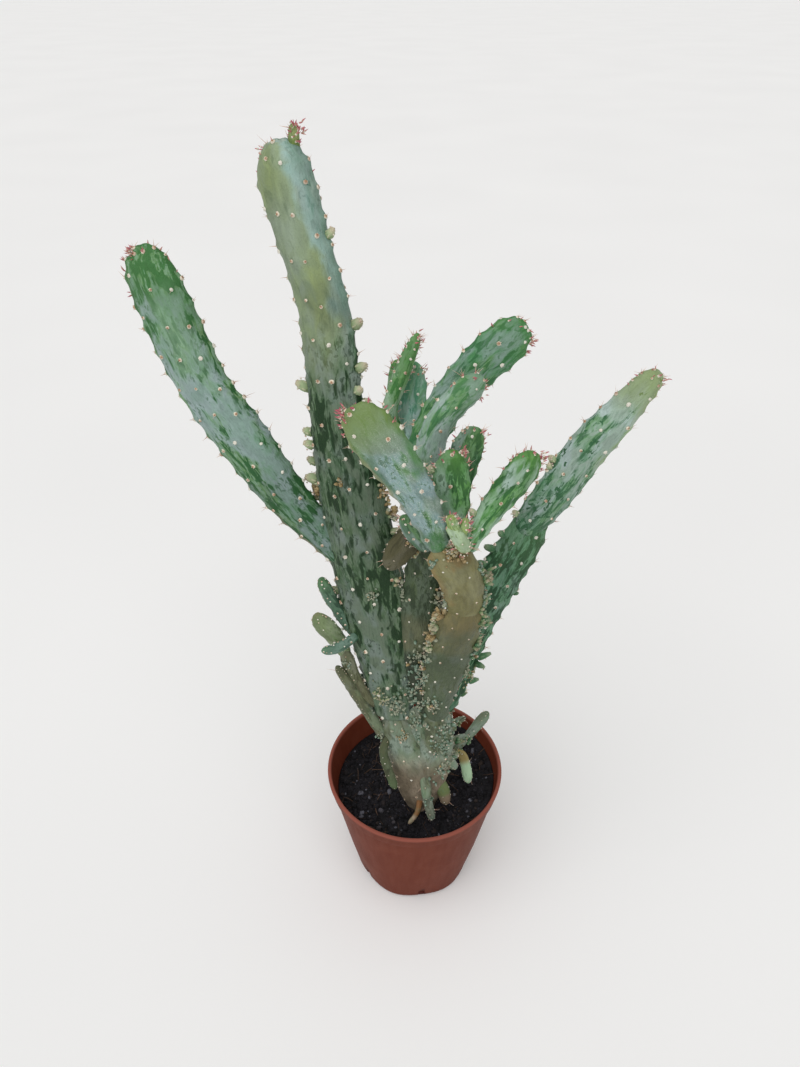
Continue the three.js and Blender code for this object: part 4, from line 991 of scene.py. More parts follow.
def model_areole():
    """A felt cushion of radius 1, brown on one side (tone 1) and woolly on the rest (tone 0)."""
    start_afresh()
    bpy.ops.mesh.primitive_uv_sphere_add(segments=8, ring_count=5, radius=1)
    cushion = bpy.context.object
    edit(cushion)
    bpy.ops.transform.resize(value=(0.92, 0.92, 0.8))
    pick(cushion, lambda point: point.z > 0.75)
    bpy.ops.transform.translate(value=(0, 0, -0.2))
    pick(cushion, lambda point: point.z < -0.45)
    bpy.ops.transform.resize(value=(0.5, 0.5, 1))
    roughen(cushion, 0.12, 3)
    points = points_of(cushion)
    heart = np.hypot(points[:, 0] - 0.3, points[:, 1] * 1.2)
    store(cushion, "tone", np.clip(1.15 - heart * 1.5, 0, 1) * (points[:, 2] > 0))
    tuft = grow_stalk(3, [(0, 0.26, 0), (0.6, 0.04, 0.12)])
    paint(tuft, 0)
    return read_out(cushion, *copy_round(tuft, 5, 0.5, 0.3, 30))


def model_spine():
    """A spine 1 long, curved a little and fine at its end."""
    return read_out(grow_stalk(5, [
        (0, 0.035, 0), (0.04, 0.045, 0), (0.3, 0.034, 0.01), (0.65, 0.022, 0.05), (0.9, 0.011, 0.1),
        (1, 0.003, 0.13)]))


def model_leaf():
    """A young awl-shaped leaf 1 long."""
    return read_out(grow_stalk(6, [
        (0, 0.1, 0), (0.15, 0.17, 0.01), (0.4, 0.19, 0.02), (0.7, 0.11, 0.08), (0.9, 0.045, 0.15),
        (1, 0.012, 0.2)]))


def model_bud():
    """A knobby young bud 1 long and 1 in radius, ringed by small lumps and crowned with small leaves."""
    egg = grow_stalk(9, [
        (0, 0.45, 0), (0.12, 0.72, 0.03), (0.32, 0.96, 0), (0.55, 0.9, 0.06), (0.74, 0.74, 0.02),
        (0.9, 0.42, 0.08), (0.97, 0.15, 0.1)])
    roughen(egg, 0.07, 5)
    lump = grow_stalk(5, [(0, 0.2, 0), (0.1, 0.27, 0.02), (0.22, 0.2, 0.05), (0.28, 0.06, 0.07)])
    paint(lump, 0.74)
    crown = grow_stalk(4, [(0, 0.17, 0), (0.1, 0.15, 0.02), (0.19, 0.04, 0.06)])
    paint(crown, 1)
    return read_out(egg, *copy_round(lump, 4, 0.72, 0.34, 60), *copy_round(crown, 6, 0.36, 0.8, 24))


def model_small_bud():
    """A plain bud 1 long and 1 in radius, with an uneven skin and three small leaves on its end."""
    egg = grow_stalk(6, [
        (0, 0.45, 0), (0.18, 0.86, 0.03), (0.5, 0.95, 0), (0.78, 0.72, 0.06), (0.97, 0.2, 0.1)])
    roughen(egg, 0.14, 5)
    crown = grow_stalk(3, [(0, 0.2, 0), (0.2, 0.05, 0.06)])
    paint(crown, 1)
    return read_out(egg, *copy_round(crown, 3, 0.36, 0.8, 24))


def model_crumb():
    """A lump of peat of radius about 1."""
    start_afresh()
    bpy.ops.mesh.primitive_ico_sphere_add(subdivisions=1, radius=1)
    crumb = bpy.context.object
    roughen(crumb, 0.35, 4)
    edit(crumb)
    pick(crumb, lambda point: point.x > 0.3)
    bpy.ops.transform.resize(value=(1, 0.7, 1.1))
    start_afresh()
    store(crumb, "tone", points_of(crumb)[:, 2] * 0.5 + 0.5)
    return read_out(crumb)


def model_fibre():
    """A root fibre 1 long, bent twice."""
    return read_out(grow_stalk(4, [
        (0, 0.03, 0), (0.25, 0.035, 0.03), (0.5, 0.03, -0.02), (0.75, 0.026, -0.08), (1, 0.012, -0.02)]))


def areole_spots(stem):
    """Where a stem's areoles sit, as share and angle: a row down each margin, and rows on its two faces."""
    chance = random.Random(f"areoles {stem.seed}")
    rows = max(1, round(stem.widest / FACE_ROW_WIDTH))
    angles = [180 * (k + 1) / (rows + 1) + side for side in (0, 180) for k in range(rows)]
    lines = [(0, MARGIN_STEP, 0.3), (180, MARGIN_STEP, 0.7)]
    lines += [(angle, FACE_STEP, 0.5 * (k % 2)) for k, angle in enumerate(angles)]
    crowded = stem.shoot or stem.look["spacing"] < 1
    away = 12 if crowded else 5
    spots = []
    for angle, step, phase in lines:
        step *= clamp(stem.widest / (16 * MM), 0.5, 1.0) * stem.look["spacing"]
        reach = step * (0.35 + phase)
        while reach < stem.length - TIP_GAP:
            if not crowded or chance.random() < 0.65:
                spots.append((reach / stem.length, angle + chance.uniform(-away, away)))
            near_tip = stem.length - reach < TIP_CROWD
            reach += step * (0.55 if near_tip else 1) * chance.uniform(0.85, 1.15)
    for angle in (0, 90, 180, 270):
        spots.append((1 - CROWN_DEPTH / stem.length, angle + chance.uniform(-10, 10)))
    return spots


class Spot(NamedTuple):
    """A place on the finished skin: its share and angle, its point, the way out, and the way to the tip."""
    share: float
    angle: float
    point: Vector
    normal: Vector
    along: Vector


SKINS = {}


def spots_on(stem, places):
    """The places of a stem, by share and angle, that lie in the open, snapped to its finished skin."""
    if not places:
        return []
    shares = np.array([share for share, _ in places])
    angles = np.array([angle for _, angle in places])
    points, normals, alongs = stem.skin_points(shares, angles)
    free = clear_of_others(stem, points, OPEN_GAP)
    spots = []
    for k in np.flatnonzero(free):
        nearest, normal, _, away = SKINS[stem.node].find_nearest(Vector(points[k]))
        if away is None or away > FARTHEST_SNAP:
            continue
        if normal.dot(Vector(normals[k])) < 0:
            normal = Vector(normals[k])
        spots.append(Spot(shares[k], angles[k], nearest, normal.normalized(), Vector(alongs[k])))
    return spots


def skin_of(stem, settings):
    """A stem's smoothed skin, with the numbers that its material reads."""
    skin = grow_skin(stem, settings.ring_step)
    apply_modifier(skin, "SUBSURF", levels=2, render_levels=2)
    points = points_of(skin)
    share, across, over, along, side = stem.unbend(points)
    places = areole_spots(stem)
    knobs, _, _ = stem.skin_points([u for u, _ in places], [angle for _, angle in places])
    gaps = np.linalg.norm(points[:, None, :] - knobs[None, :, :], axis=2)
    slender = min(1.0, stem.widest / (18 * MM)) ** 1.5
    heights = np.where([on_margin(angle) for _, angle in places], settings.margin_bump, settings.face_bump)
    heights = heights * stem.look["bumps"] * slender
    swell = (eased(1 - gaps / settings.bump_radius, 0, 1) * heights).max(axis=1)
    highest = max(settings.margin_bump, settings.face_bump)
    displace(skin, highest, swell / highest, least=0.005)
    displace(skin, settings.lump_height * slender, lump_size=settings.lump_size)
    offset = np.array([0.31, 0.17, 0.53]) * (stem.seed + 1)
    store(skin, "skin", np.stack([across, over, along], axis=1) + offset)
    nearness = np.clip(1 - gaps.min(axis=1) / settings.bump_radius, 0, 1)
    store(skin, "place", np.stack([share, side, nearness], axis=1))
    kind = stem.entry.get("kind", 0 if stem.shoot else 1)
    store(skin, "kind", np.full(len(points), float(kind)))
    shade(skin)
    return skin


def flesh(name, look):
    """Variegated flesh: soft pale and green patches, streaks along the stem, and washes of other colours."""
    finish = Finish(name)
    share, side, near = finish.split(finish.vector("place"))
    skin = finish.vector("skin")
    kind = finish.number("kind")
    grain, soft = look["grain"], look["soft"]

    def patches(across, along, detail=2.0, twist=0.0):
        return finish.noise(skin, (across, across, along), detail, distortion=twist)

    patch = patches(80 * grain, 38 * grain, 2.0, 0.4)
    coarse = patches(270 * grain, 105 * grain, 3.0, 1.0)
    lines = patches(430 * grain, 110 * grain, 3.0, 0.8)
    fine = patches(1250, 420, 2.0)
    blots = patches(600, 330, 1.0, 0.8)
    islands = patches(130, 80, 1.0)
    speck = patches(2100, 1300, 1.0)
    wander = patches(95, 55) - 0.5
    green = finish.ramp(share, look["cover"])
    margin = finish.smooth(side * side, 0.45, 0.95) * look["green_margin"]
    field = (patch - 0.5) * 0.85 + (coarse - 0.5) * 0.6 + (green - 0.5) * 0.55 + margin * 0.12

    # The pale ground, the fresh green over it, and the streaks' dark cores with pale veins between them.
    ground = finish.mix(finish.smooth(islands + wander * 0.5, 0.42, 0.6), look["pale"], look["bloom"])
    freshness = finish.smooth(patch + wander, 0.42, 0.62) * 0.6 + margin * 0.3
    fresh = finish.mix(freshness, look["streak"], look["lime"])
    colour = finish.mix(finish.smooth(field, -soft, soft) * 0.94, ground, fresh)
    deep = finish.smooth(lines - 0.5 + field * 0.45, 0.035, 0.1) * finish.smooth(field, -0.1, 0.05)
    colour = finish.mix(deep * look["lines"], colour, look["dark"])
    veins = finish.smooth(0.5 - lines + (fine - 0.5) * 0.35, 0.04, 0.12) * finish.smooth(field, -0.05, 0.1)
    colour = finish.mix(veins * look["veins"], colour, look["pale"])
    dots = finish.smooth(blots + (fine - 0.5) * 0.2, 0.555, 0.605)
    dots = dots * finish.smooth(islands + field * 0.5, 0.46, 0.54)
    colour = finish.mix(dots * look["dashes"], colour, look["dark"])
    colour = finish.shaded(colour, finish.ramp(fine, [(0.32, 0.9), (0.5, 1.0), (0.7, 1.07)]))
    if look["frost"]:
        dust = finish.smooth(finish.noise(skin, 3000, 0.0), 0.6, 0.7)
        colour = finish.mix(dust * 0.4 * look["frost"], colour, "#dfe8e2")
    for tint, low, high, left, right, amount in look["washes"]:
        along = finish.band(share + wander * 0.14, low, high, 0.04)
        across = finish.band(side + wander * 1.2 + (coarse - 0.5) * 0.6, left, right, 0.22)
        uneven = finish.ramp(coarse, [(0.36, 0.7), (0.6, 1.0)])
        colour = finish.mix(along * across * amount * uneven, colour, tint)

    # Broad clouds of light and dark, the tip, and painted shade from root to tip by the grey levels of
    # level.
    clouds = finish.ramp(patch + (coarse - 0.5) * 0.7, [(0.34, 0.8), (0.5, 1.0), (0.68, 1.16)])
    colour = finish.shaded(colour, clouds)
    colour = finish.mix(finish.smooth(lines, 0.55, 0.66) * 0.25, colour, look["dark"])
    tip = finish.smooth(share + wander * 0.1, look["tip_from"] - 0.14, look["tip_from"] + 0.14)
    colour = finish.mix(tip * look["tip_share"], colour, look["tip"])
    colour = finish.shaded(colour, finish.ramp(share, look["level"]))
    if "bark" in look:
        height = finish.split(finish.object_place())[2] + wander * 0.025
        low_down = 1 - finish.smooth(height, look["bark"] - 0.012, look["bark"] + 0.012)
        tan = finish.mix(finish.smooth(coarse + fine, 0.8, 1.15), "#7b7061", "#978b78")
        colour = finish.mix(low_down * finish.smooth(kind, 0.4, 0.6), colour, tan)
    if look["grime"]:
        dirt = finish.smooth(patch + wander * 0.8 + (fine - 0.5) * 0.3, 0.42, 0.62)
        colour = finish.mix(dirt * look["grime"], colour, "#574f3d")
    for number, foot, top in look["kinds"]:
        tint = finish.mix(finish.smooth(share + wander * 0.2, 0.62, 0.74), foot, top)
        tint = finish.mix(dots * 0.3, tint, look["streak"])
        colour = finish.mix(finish.band(kind, number - 0.5, number + 0.5, 0.05), colour, tint)
    # Painted shade: the skin darkened round each areole, as if the cushion shaded it.
    colour = finish.mix(finish.smooth(near, 0.55, 0.85) * 0.22, colour, look["dark"])
    rough = 0.5 + (coarse - 0.5) * 0.25 + (speck - 0.5) * 0.2
    return finish.done(colour, rough, speck * 0.5 + fine * 0.8 + coarse * 0.6 + lines * 0.5, 0.0005, 0.2)


def fluff(name, stops, spread):
    """A small piece's colours by its tone, each copy a little lighter or darker than the next."""
    finish = Finish(name)
    grain = finish.noise(finish.object_place(), 2400, 1.0)
    colour = finish.ramp(finish.number("tone"), stops)
    level = 1 - spread / 2 + finish.number("chance") * spread + (grain - 0.5) * 0.2
    level = finish.node("ShaderNodeCombineColor", None, [level, level, level])
    return finish, finish.shaded(colour, level), grain


POT_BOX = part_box("pot")
SOIL_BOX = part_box("soil")


def colour_setting(name, text, code):
    return FloatVectorProperty(
        name=name, description=text, default=colour_of(code)[:3], subtype="COLOR", size=3, min=0, max=1)


def length_setting(name, text, default, low=0.0):
    return FloatProperty(
        name=name, description=text, default=default, min=low, precision=5, subtype="DISTANCE",
        unit="LENGTH")


def count_setting(name, text, default):
    return IntProperty(name=name, description=text, default=default, min=1, subtype="UNSIGNED")


class PotSettings(bpy.types.PropertyGroup):
    rim_radius: length_setting("Rim radius", "Radius of the pot across its rim", POT_BOX[1].x)
    height: length_setting("Height", "Height of the pot", POT_BOX[1].z)
    sides: count_setting("Sides", "How many sides the round of the pot has", 144)
    colour: colour_setting("Colour", "Colour of the moulded plastic", "#6e3626")
    # The lip's colour is painted highlight: the top of the rolled lip painted paler, where light falls on
    # it.
    lip_highlight_colour: colour_setting("Lip colour", "Colour of the worn lip", "#96584c")


class SoilSettings(bpy.types.PropertyGroup):
    radius: length_setting("Radius", "Radius of the soil at its top", SOIL_BOX[1].x)
    level: length_setting("Level", "Height of the soil's edge", SOIL_LEVEL)
    heap: length_setting("Heap", "How far the soil is heaped up against the wall", 8 * MM)
    heap_side: IntProperty(name="Heap side", description="Direction of the heap from +X, in degrees",
                           default=8, min=-180, max=180)
    sides: count_setting("Sides", "How many sides the round of the soil has", 72)
    crumbs: count_setting("Crumbs", "How many crumbs of peat lie on the soil", 3200)
    crumb_size: length_setting("Crumb size", "Radius of a middling crumb", 0.85 * MM)
    fibres: count_setting("Fibres", "How many root fibres lie on the soil", 160)
    colour: colour_setting("Colour", "Colour of the damp peat", "#211f24")
    fleck_colour: colour_setting("Fleck colour", "Colour of the drier flecks", "#565a6a")


class StemSettings(bpy.types.PropertyGroup):
    ring_step: length_setting("Ring step", "Distance between the rings of a stem's skin", 5.2 * MM, 1 * MM)
    margin_bump: length_setting("Margin bump", "How far the margin stands out at an areole", 1.0 * MM)
    face_bump: length_setting("Face bump", "How far the face stands out at an areole", 0.45 * MM)
    bump_radius: length_setting("Bump radius", "Radius of the bump under an areole", 3.6 * MM, 0.1 * MM)
    lump_size: length_setting("Lump size", "Size of the lumps of the skin", 24 * MM, 0.1 * MM)
    lump_height: length_setting("Lump height", "Height of the lumps of the skin", 1.3 * MM)


class AreoleSettings(bpy.types.PropertyGroup):
    radius: length_setting("Radius", "Radius of a felt cushion", 1.0 * MM)
    spine_length: length_setting("Spine length", "Length of a middling spine", 2.6 * MM)
    hairs: count_setting("Hairs", "How many fine long spines stand out from the margins", 36)
    wool_colour: colour_setting("Wool colour", "Colour of the felt", "#ebe2d0")
    heart_colour: colour_setting("Heart colour", "Colour of a cushion's heart", "#8f5a42")
    spine_colour: colour_setting("Spine colour", "Colour of a spine's foot", "#a9705c")


class BudSettings(bpy.types.PropertyGroup):
    size: FloatProperty(name="Size", description="Size of the buds", default=1.0, min=0.1, subtype="FACTOR")
    leaf_length: length_setting("Leaf length", "Length of a young leaf at a tip", 2.5 * MM)
    leaf_colour: colour_setting("Leaf colour", "Colour of the young leaves at the tips", "#c5717c")


def clean_plastic(name, colour, lip_highlight_colour, top):
    """Satin plastic: painted highlight on the lip, faint streaks down the wall, dust, fine scuffs and
    painted shade inside.
    """
    finish = Finish(name)
    place = finish.object_place()
    height = finish.split(place)[2]
    streaks = finish.noise(place, (260, 260, 14))
    grain = finish.noise(place, 900)
    blots = finish.noise(place, 60, 3.0)
    body = finish.mix(finish.smooth(streaks, 0.35, 0.68) * 0.3, colour, "#5f2a1e")
    body = finish.mix(finish.smooth(blots, 0.52, 0.7) * 0.3, body, "#7b4232")
    # Painted highlight: the top of the lip painted paler, where light falls on it.
    lip = finish.smooth(height, top - 2.2 * MM, top - 0.6 * MM)
    body = finish.mix(lip * 0.8, body, lip_highlight_colour)
    flat = finish.stretch(place, (1, 1, 0))
    radius = finish.node("ShaderNodeVectorMath", {"operation": "LENGTH"}, [flat], output="Value")
    # Painted shade: below a sloping line the inside of the pot is painted dark red, as if shaded.
    inside = 1 - finish.smooth(
        radius - height * INSIDE_SLOPE, BASE_RADIUS - 1.35 * MM, BASE_RADIUS - 1.15 * MM)
    body = finish.mix(inside * 0.9, body, "#541f1a")
    dust = finish.smooth(grain, 0.58, 0.72) * (1 - finish.smooth(height, 4 * MM, 30 * MM)) * 0.4
    body = finish.mix(dust, body, "#4a3c38")
    mud = finish.number("mud") + (streaks - 0.5) * 0.7 + (grain - 0.5) * 0.5
    body = finish.mix(finish.smooth(mud, 0.35, 0.75) * 0.75, body, "#2c1713")
    rough = 0.42 + streaks * 0.12 + (grain - 0.5) * 0.12
    return finish.done(body, rough, grain * 0.3 + streaks * 0.5, 0.0002, 0.04)


def damp_peat(name, colour, fleck_colour):
    """Dark peat, with drier grey-blue flecks and a few brown bits."""
    finish = Finish(name)
    place = finish.object_place()
    grain = finish.noise(place, 700, 4.0, 0.7)
    lumps = finish.noise(place, 180, 3.0)
    chance = finish.number("chance")
    earth = finish.mix(finish.smooth(lumps, 0.35, 0.65), "#0e0d10", colour)
    earth = finish.mix(finish.smooth(grain, 0.6, 0.7) * 0.6, earth, fleck_colour)
    earth = finish.mix(finish.smooth(chance, 0.86, 0.93) * 0.5, earth, "#473a33")
    earth = finish.mix(finish.smooth(chance, 0.94, 0.99) * 0.7, earth, "#70727e")
    return finish.done(earth, 0.9 - grain * 0.2, grain + lumps, 0.0012)


def outer_radius(height, settings):
    """Radius of the pot's outer wall under its collar."""
    top = settings.height - COLLAR_HEIGHT
    return BASE_RADIUS + (settings.rim_radius - RIM_FLARE - BASE_RADIUS) * height / top


def pot_profile(settings):
    """The pot's section as (radius, height) points: underside, wall, collar, lip, inner wall and floor."""
    rim, top = settings.rim_radius, settings.height
    collar = top - COLLAR_HEIGHT
    heights = [BASE_CHAMFER, *(z * MM for z in (5, 9, 14, 20, 26)), FLUTE_HEIGHT, WALL_MIDDLE,
               collar - 0.4 * MM, collar]
    step = outer_radius(collar, settings) + COLLAR_STEP
    return [
        (HUB, 0), (BASE_RADIUS - 8 * MM, 0), (BASE_RADIUS - BASE_CHAMFER, 0),
        *((outer_radius(z, settings), z) for z in heights),
        (step, collar + 0.6 * MM), (step + 0.2 * MM, collar + 1.2 * MM),
        *((rim - inward * MM, top - down * MM) for inward, down in LIP_SECTION),
        *((outer_radius(z, settings) - WALL, z) for z in (collar, WALL_MIDDLE, FLUTE_HEIGHT)),
        (outer_radius(POT_FLOOR, settings) - WALL - FLUTE_DEPTH, POT_FLOOR), (HUB, POT_FLOOR)]


def drain_cutter():
    """The blocks, rounded at their tops, that cut the drain slots."""
    slots = []
    for k in range(DRAIN_COUNT):
        angle = math.radians(DRAIN_TURN - 90 + 360 * k / DRAIN_COUNT)
        reach = BASE_RADIUS + 3.2 * MM
        start_afresh()
        bpy.ops.mesh.primitive_cube_add(
            size=1, location=(reach * math.cos(angle), reach * math.sin(angle), 0),
            rotation=(0, 0, angle), scale=(10 * MM, DRAIN_WIDTH, 2 * DRAIN_HEIGHT))
        bpy.ops.object.transform_apply(location=True, rotation=True, scale=True)
        slot = bpy.context.object
        edit(slot)
        pick(slot, lambda point: point.z > 0)
        bpy.ops.mesh.bevel(offset=1.2 * MM, segments=4, affect="EDGES")
        start_afresh()
        slots.append(slot)
    return join(slots, "slots")


class CACTUS_OT_pot(bpy.types.Operator):
    """Model the pot: tapered wall, collar, rolled lip, shallow flutes and drain slots"""
    bl_idname = "cactus.pot"
    bl_label = "Pot"

    def execute(self, context):
        settings = context.scene.cactus_pot
        pot = turn_profile("pot_shell", settings.sides, pot_profile(settings))
        x, y, z = points_of(pot).T
        radius = np.hypot(x, y)
        angle = np.arctan2(y, x) + math.pi / 2 - math.radians(DRAIN_TURN)
        wave = 0.5 + 0.5 * np.cos(DRAIN_COUNT * angle)
        fade = np.clip(1 - z / FLUTE_HEIGHT, 0, 1) * (radius > BASE_RADIUS - 3 * MM)
        outside = radius > outer_radius(z, settings) - 0.5 * WALL
        displace(pot, -FLUTE_DEPTH, wave * fade * outside)
        turns = np.round(DRAIN_COUNT * angle / (2 * math.pi))
        away = np.degrees(np.abs(angle - turns * 2 * math.pi / DRAIN_COUNT))
        splash = np.exp(-(away / MUD_DEGREES) ** 2) * np.clip(1 - z / MUD_HEIGHT, 0, 1) * outside
        store(pot, "mud", splash)
        cutter = drain_cutter()
        apply_modifier(pot, "BOOLEAN", operation="DIFFERENCE", object=cutter, solver="EXACT")
        bpy.data.objects.remove(cutter)
        shade(pot, 35)
        plastic = clean_plastic("pot_plastic", settings.colour, settings.lip_highlight_colour, settings.height)
        dress(pot, plastic, "pot")
        return {"FINISHED"}


def soil_body(settings, pot):
    """The filling: closed round, lumpy on top, and heaped up against the wall on one side."""
    heights = (FLUTE_HEIGHT, WALL_MIDDLE, settings.level)
    inner = [(outer_radius(z, pot) - WALL - SOIL_GAP, z) for z in heights]
    foot = outer_radius(POT_FLOOR, pot) - WALL - FLUTE_DEPTH - SOIL_GAP
    shares = [0.985 - 0.0285 * k for k in range(34)]
    top = [(settings.radius * share, settings.level + 1.2 * MM * (1 - share ** 2)) for share in shares]
    profile = [(HUB, SOIL_FLOOR), (foot, SOIL_FLOOR), *inner, *top]
    soil = turn_profile("soil_fill", settings.sides, profile)
    x, y, z = points_of(soil).T
    open_top = (z > settings.level - 1 * MM) & (np.hypot(x, y) < settings.radius * 0.99)
    for size, height in ((9 * MM, 1.6 * MM), (2.6 * MM, 1.2 * MM)):
        displace(soil, height, open_top.astype(float), size)
    points = points_of(soil)
    x, y, z = points.T
    aside = np.cos(np.arctan2(y, x) - math.radians(settings.heap_side))
    lift = settings.heap * (z > settings.level - 1 * MM)
    lift = lift * eased(aside, -0.1, 0.8) * eased(np.hypot(x, y) / settings.radius, 0.5, 0.97)
    flare = (outer_radius(settings.level, pot) - BASE_RADIUS) / settings.level
    points[:, :2] *= 1 + (flare * lift / settings.radius)[:, None]
    points[:, 2] += lift
    soil.data.vertices.foreach_set("co", points.ravel())
    shade(soil)
    return soil


class CACTUS_OT_soil(bpy.types.Operator):
    """Model the soil: a lumpy filling with crumbs of peat and root fibres on it"""
    bl_idname = "cactus.soil"
    bl_label = "Soil"

    def execute(self, context):
        settings = context.scene.cactus_soil
        soil = soil_body(settings, context.scene.cactus_pot)
        peat = damp_peat("peat", settings.colour, settings.fleck_colour)
        dress(soil, peat, "soil")
        ground = BVHTree.FromObject(soil, context.evaluated_depsgraph_get())
        chance = random.Random("crumbs")

        def lie(height):
            reach = (settings.radius - 1.5 * MM) * math.sqrt(chance.random())
            angle = chance.uniform(0, 2 * math.pi)
            above = Vector((reach * math.cos(angle), reach * math.sin(angle), settings.level + 20 * MM))
            return ground.ray_cast(above, Vector((0, 0, -1)))[0] + Vector((0, 0, height))

        crumbs = []
        for _ in range(settings.crumbs):
            size = settings.crumb_size * min(2.6, chance.lognormvariate(0, 0.45))
            up = Vector((chance.gauss(0, 0.6), chance.gauss(0, 0.6), 1))
            shape = (size * chance.uniform(0.8, 1.4), size, size * chance.uniform(0.5, 0.9))
            crumbs.append((stand(lie(size * 0.25), up, shape, chance), 0.0))
        dress(scatter("soil_crumbs", model_crumb(), crumbs, 5), peat)
        fibres = []
        for _ in range(settings.fibres):
            length = chance.uniform(3, 11) * MM
            up = Vector((chance.gauss(0, 1), chance.gauss(0, 1), chance.uniform(-0.05, 0.25)))
            fibres.append((stand(lie(0.5 * MM), up, (length * 0.7, length, length), chance), 0.0))
        finish, colour, grain = fluff("root_fibre", ("#33261f", "#5f4a3c"), 0.8)
        root = finish.done(colour, 0.8 + grain * 0.1)
        dress(scatter("soil_fibres", model_fibre(), fibres, 6), root)
        return {"FINISHED"}


class SkinStep:
    """What the operators that model stems share. Each node is one stem or several fused together."""
    nodes = ()

    def execute(self, context):
        for node in self.nodes:
            stems = [stem for stem in PLANT if stem.node == node]
            skins = [skin_of(stem, context.scene.cactus_stem) for stem in stems]
            skin = join(skins, node + "_skin")
            SKINS[node] = BVHTree.FromObject(skin, context.evaluated_depsgraph_get())
            dress(skin, flesh(node + "_flesh", stems[0].look), node)
        return {"FINISHED"}


class CACTUS_OT_trunk(SkinStep, bpy.types.Operator):
    """Model the corky trunk with its offsets, and the stalk at its left"""
    bl_idname = "cactus.trunk"
    bl_label = "Trunk"
    nodes = ("trunk_base", "side_stalk")


class CACTUS_OT_tall_stems(SkinStep, bpy.types.Operator):
    """Model the tall stem and the pad that leans left from it"""
    bl_idname = "cactus.tall_stems"
    bl_label = "Tall stems"
    nodes = ("main_stem", "left_pad")


class CACTUS_OT_pads(SkinStep, bpy.types.Operator):
    """Model the pads in front, behind and at the right"""
    bl_idname = "cactus.pads"
    bl_label = "Pads"
    nodes = (
        "right_pad_lower", "right_pad_upper", "front_pad_lower", "front_pad_upper", "back_stem",
        "centre_pad", "centre_small_pad", "bud_sprout", "right_sprout", "middle_pad", "middle_pad_behind",
        "upper_pad_front", "upper_pad_back", "pale_pad", "narrow_pad", "brown_pad")


class CACTUS_OT_shoots(SkinStep, bpy.types.Operator):
    """Model the small shoots low on the left"""
    bl_idname = "cactus.shoots"
    bl_label = "Side shoots"
    nodes = ("side_pad", "side_shoot_upper", "side_shoot_lower", "edge_shoot_up", "edge_shoot_down")


def lean_from(spot, chance, outward, tipward, spread):
    """A way out from a spot: along its normal, towards the tip, and to a random side."""
    wild = Vector([chance.gauss(0, 1) for _ in range(3)])
    return (spot.normal * outward + spot.along * tipward + wild * spread).normalized()


def wool_on(place, up, shape, chance, count):
    """Small felt cushions on a bud that stands at a place, as copies and their kinds."""
    tufts = []
    for _ in range(count):
        size = chance.uniform(0.28, 0.5) * MM
        side = up.orthogonal()
        side.rotate(Quaternion(up, chance.uniform(0, ANY_SPIN)))
        share = chance.uniform(0.45, 1.0)
        reach = shape[0] * math.sqrt(max(0.05, 1 - (2 * share - 0.9) ** 2)) * 0.9
        out = (side + up * chance.uniform(0, 0.8)).normalized()
        spot = place + up * shape[2] * share + side * reach
        tufts.append((stand(spot, out, (size,) * 3, chance), chance.random()))
    return tufts


def set_areoles(settings, chance):
    """The places of the felt cushions and of the spines, and the spots on the margins of the large stems."""
    cushions, spines, margin_spots = [], [], []
    for stem in PLANT:
        slender = min(1.0, 0.45 + stem.widest / (36 * MM))
        for spot in spots_on(stem, areole_spots(stem)):
            edge = on_margin(spot.angle)
            near_tip = spot.share > 1 - SMALL_TIP / stem.length
            size = settings.radius * slender * chance.uniform(0.75, 1.2) * (0.85 if near_tip else 1)
            size *= stem.look["felt"]
            place = spot.point - spot.normal * size * CUSHION_SINK
            up = lean_from(spot, chance, 1, 0.15, 0.05)
            shape = (size, size * chance.uniform(0.95, 1.2), size * chance.uniform(0.9, 1.25))
            cushions.append((stand(place, up, shape, chance), chance.random()))
            count = chance.choice((1, 2, 3) if edge else (0, 0, 1))
            for _ in range(round(count * stem.look["spiny"])):
                length = settings.spine_length * chance.uniform(0.5, 1.5) * (1 if edge else 0.6)
                up = lean_from(spot, chance, 1, 0.3, 0.42)
                spines.append((stand(spot.point, up, (length, length, length), chance), 0.0))
            if edge and not stem.shoot:
                margin_spots.append(spot)
    return cushions, spines, margin_spots


class CACTUS_OT_areoles(bpy.types.Operator):
    """Set felt cushions and spines on the skin of every stem"""
    bl_idname = "cactus.areoles"
    bl_label = "Areoles and spines"

    def execute(self, context):
        settings = context.scene.cactus_areole
        chance = random.Random("spines")
        cushions, spines, margin_spots = set_areoles(settings, chance)
        for spot in chance.sample(margin_spots, min(settings.hairs, len(margin_spots))):
            length = chance.uniform(3.5, 6) * MM
            up = lean_from(spot, chance, 1, 0.1, 0.35)
            spines.append((stand(spot.point, up, (length * 0.5, length * 0.5, length), chance), 1.0))
        wool = [(0, settings.wool_colour), (0.3, "#c7a98c"), (0.8, settings.heart_colour)]
        finish, colour, grain = fluff("areole_felt", wool, 0.25)
        kind = finish.number("kind")
        woolly = 1 - finish.smooth(kind, 0.2, 0.4)
        colour = finish.mix(woolly * 0.9, colour, "#ebe8dc")
        colour = finish.mix(finish.smooth(kind, 0.78, 0.95) * 0.45, colour, "#ab8163")
        felt = finish.done(colour, 0.9, grain, 0.0003)
        dress(scatter("areoles", model_areole(), cushions, 1), felt)
        fade = [(0, settings.spine_colour), (0.5, "#d2b39e"), (1, "#e9dccb")]
        finish, colour, grain = fluff("spine", fade, 0.3)
        horn = finish.done(colour, 0.45 + grain * 0.1)
        dress(scatter("spines", model_spine(), spines, 2), horn)
        return {"FINISHED"}


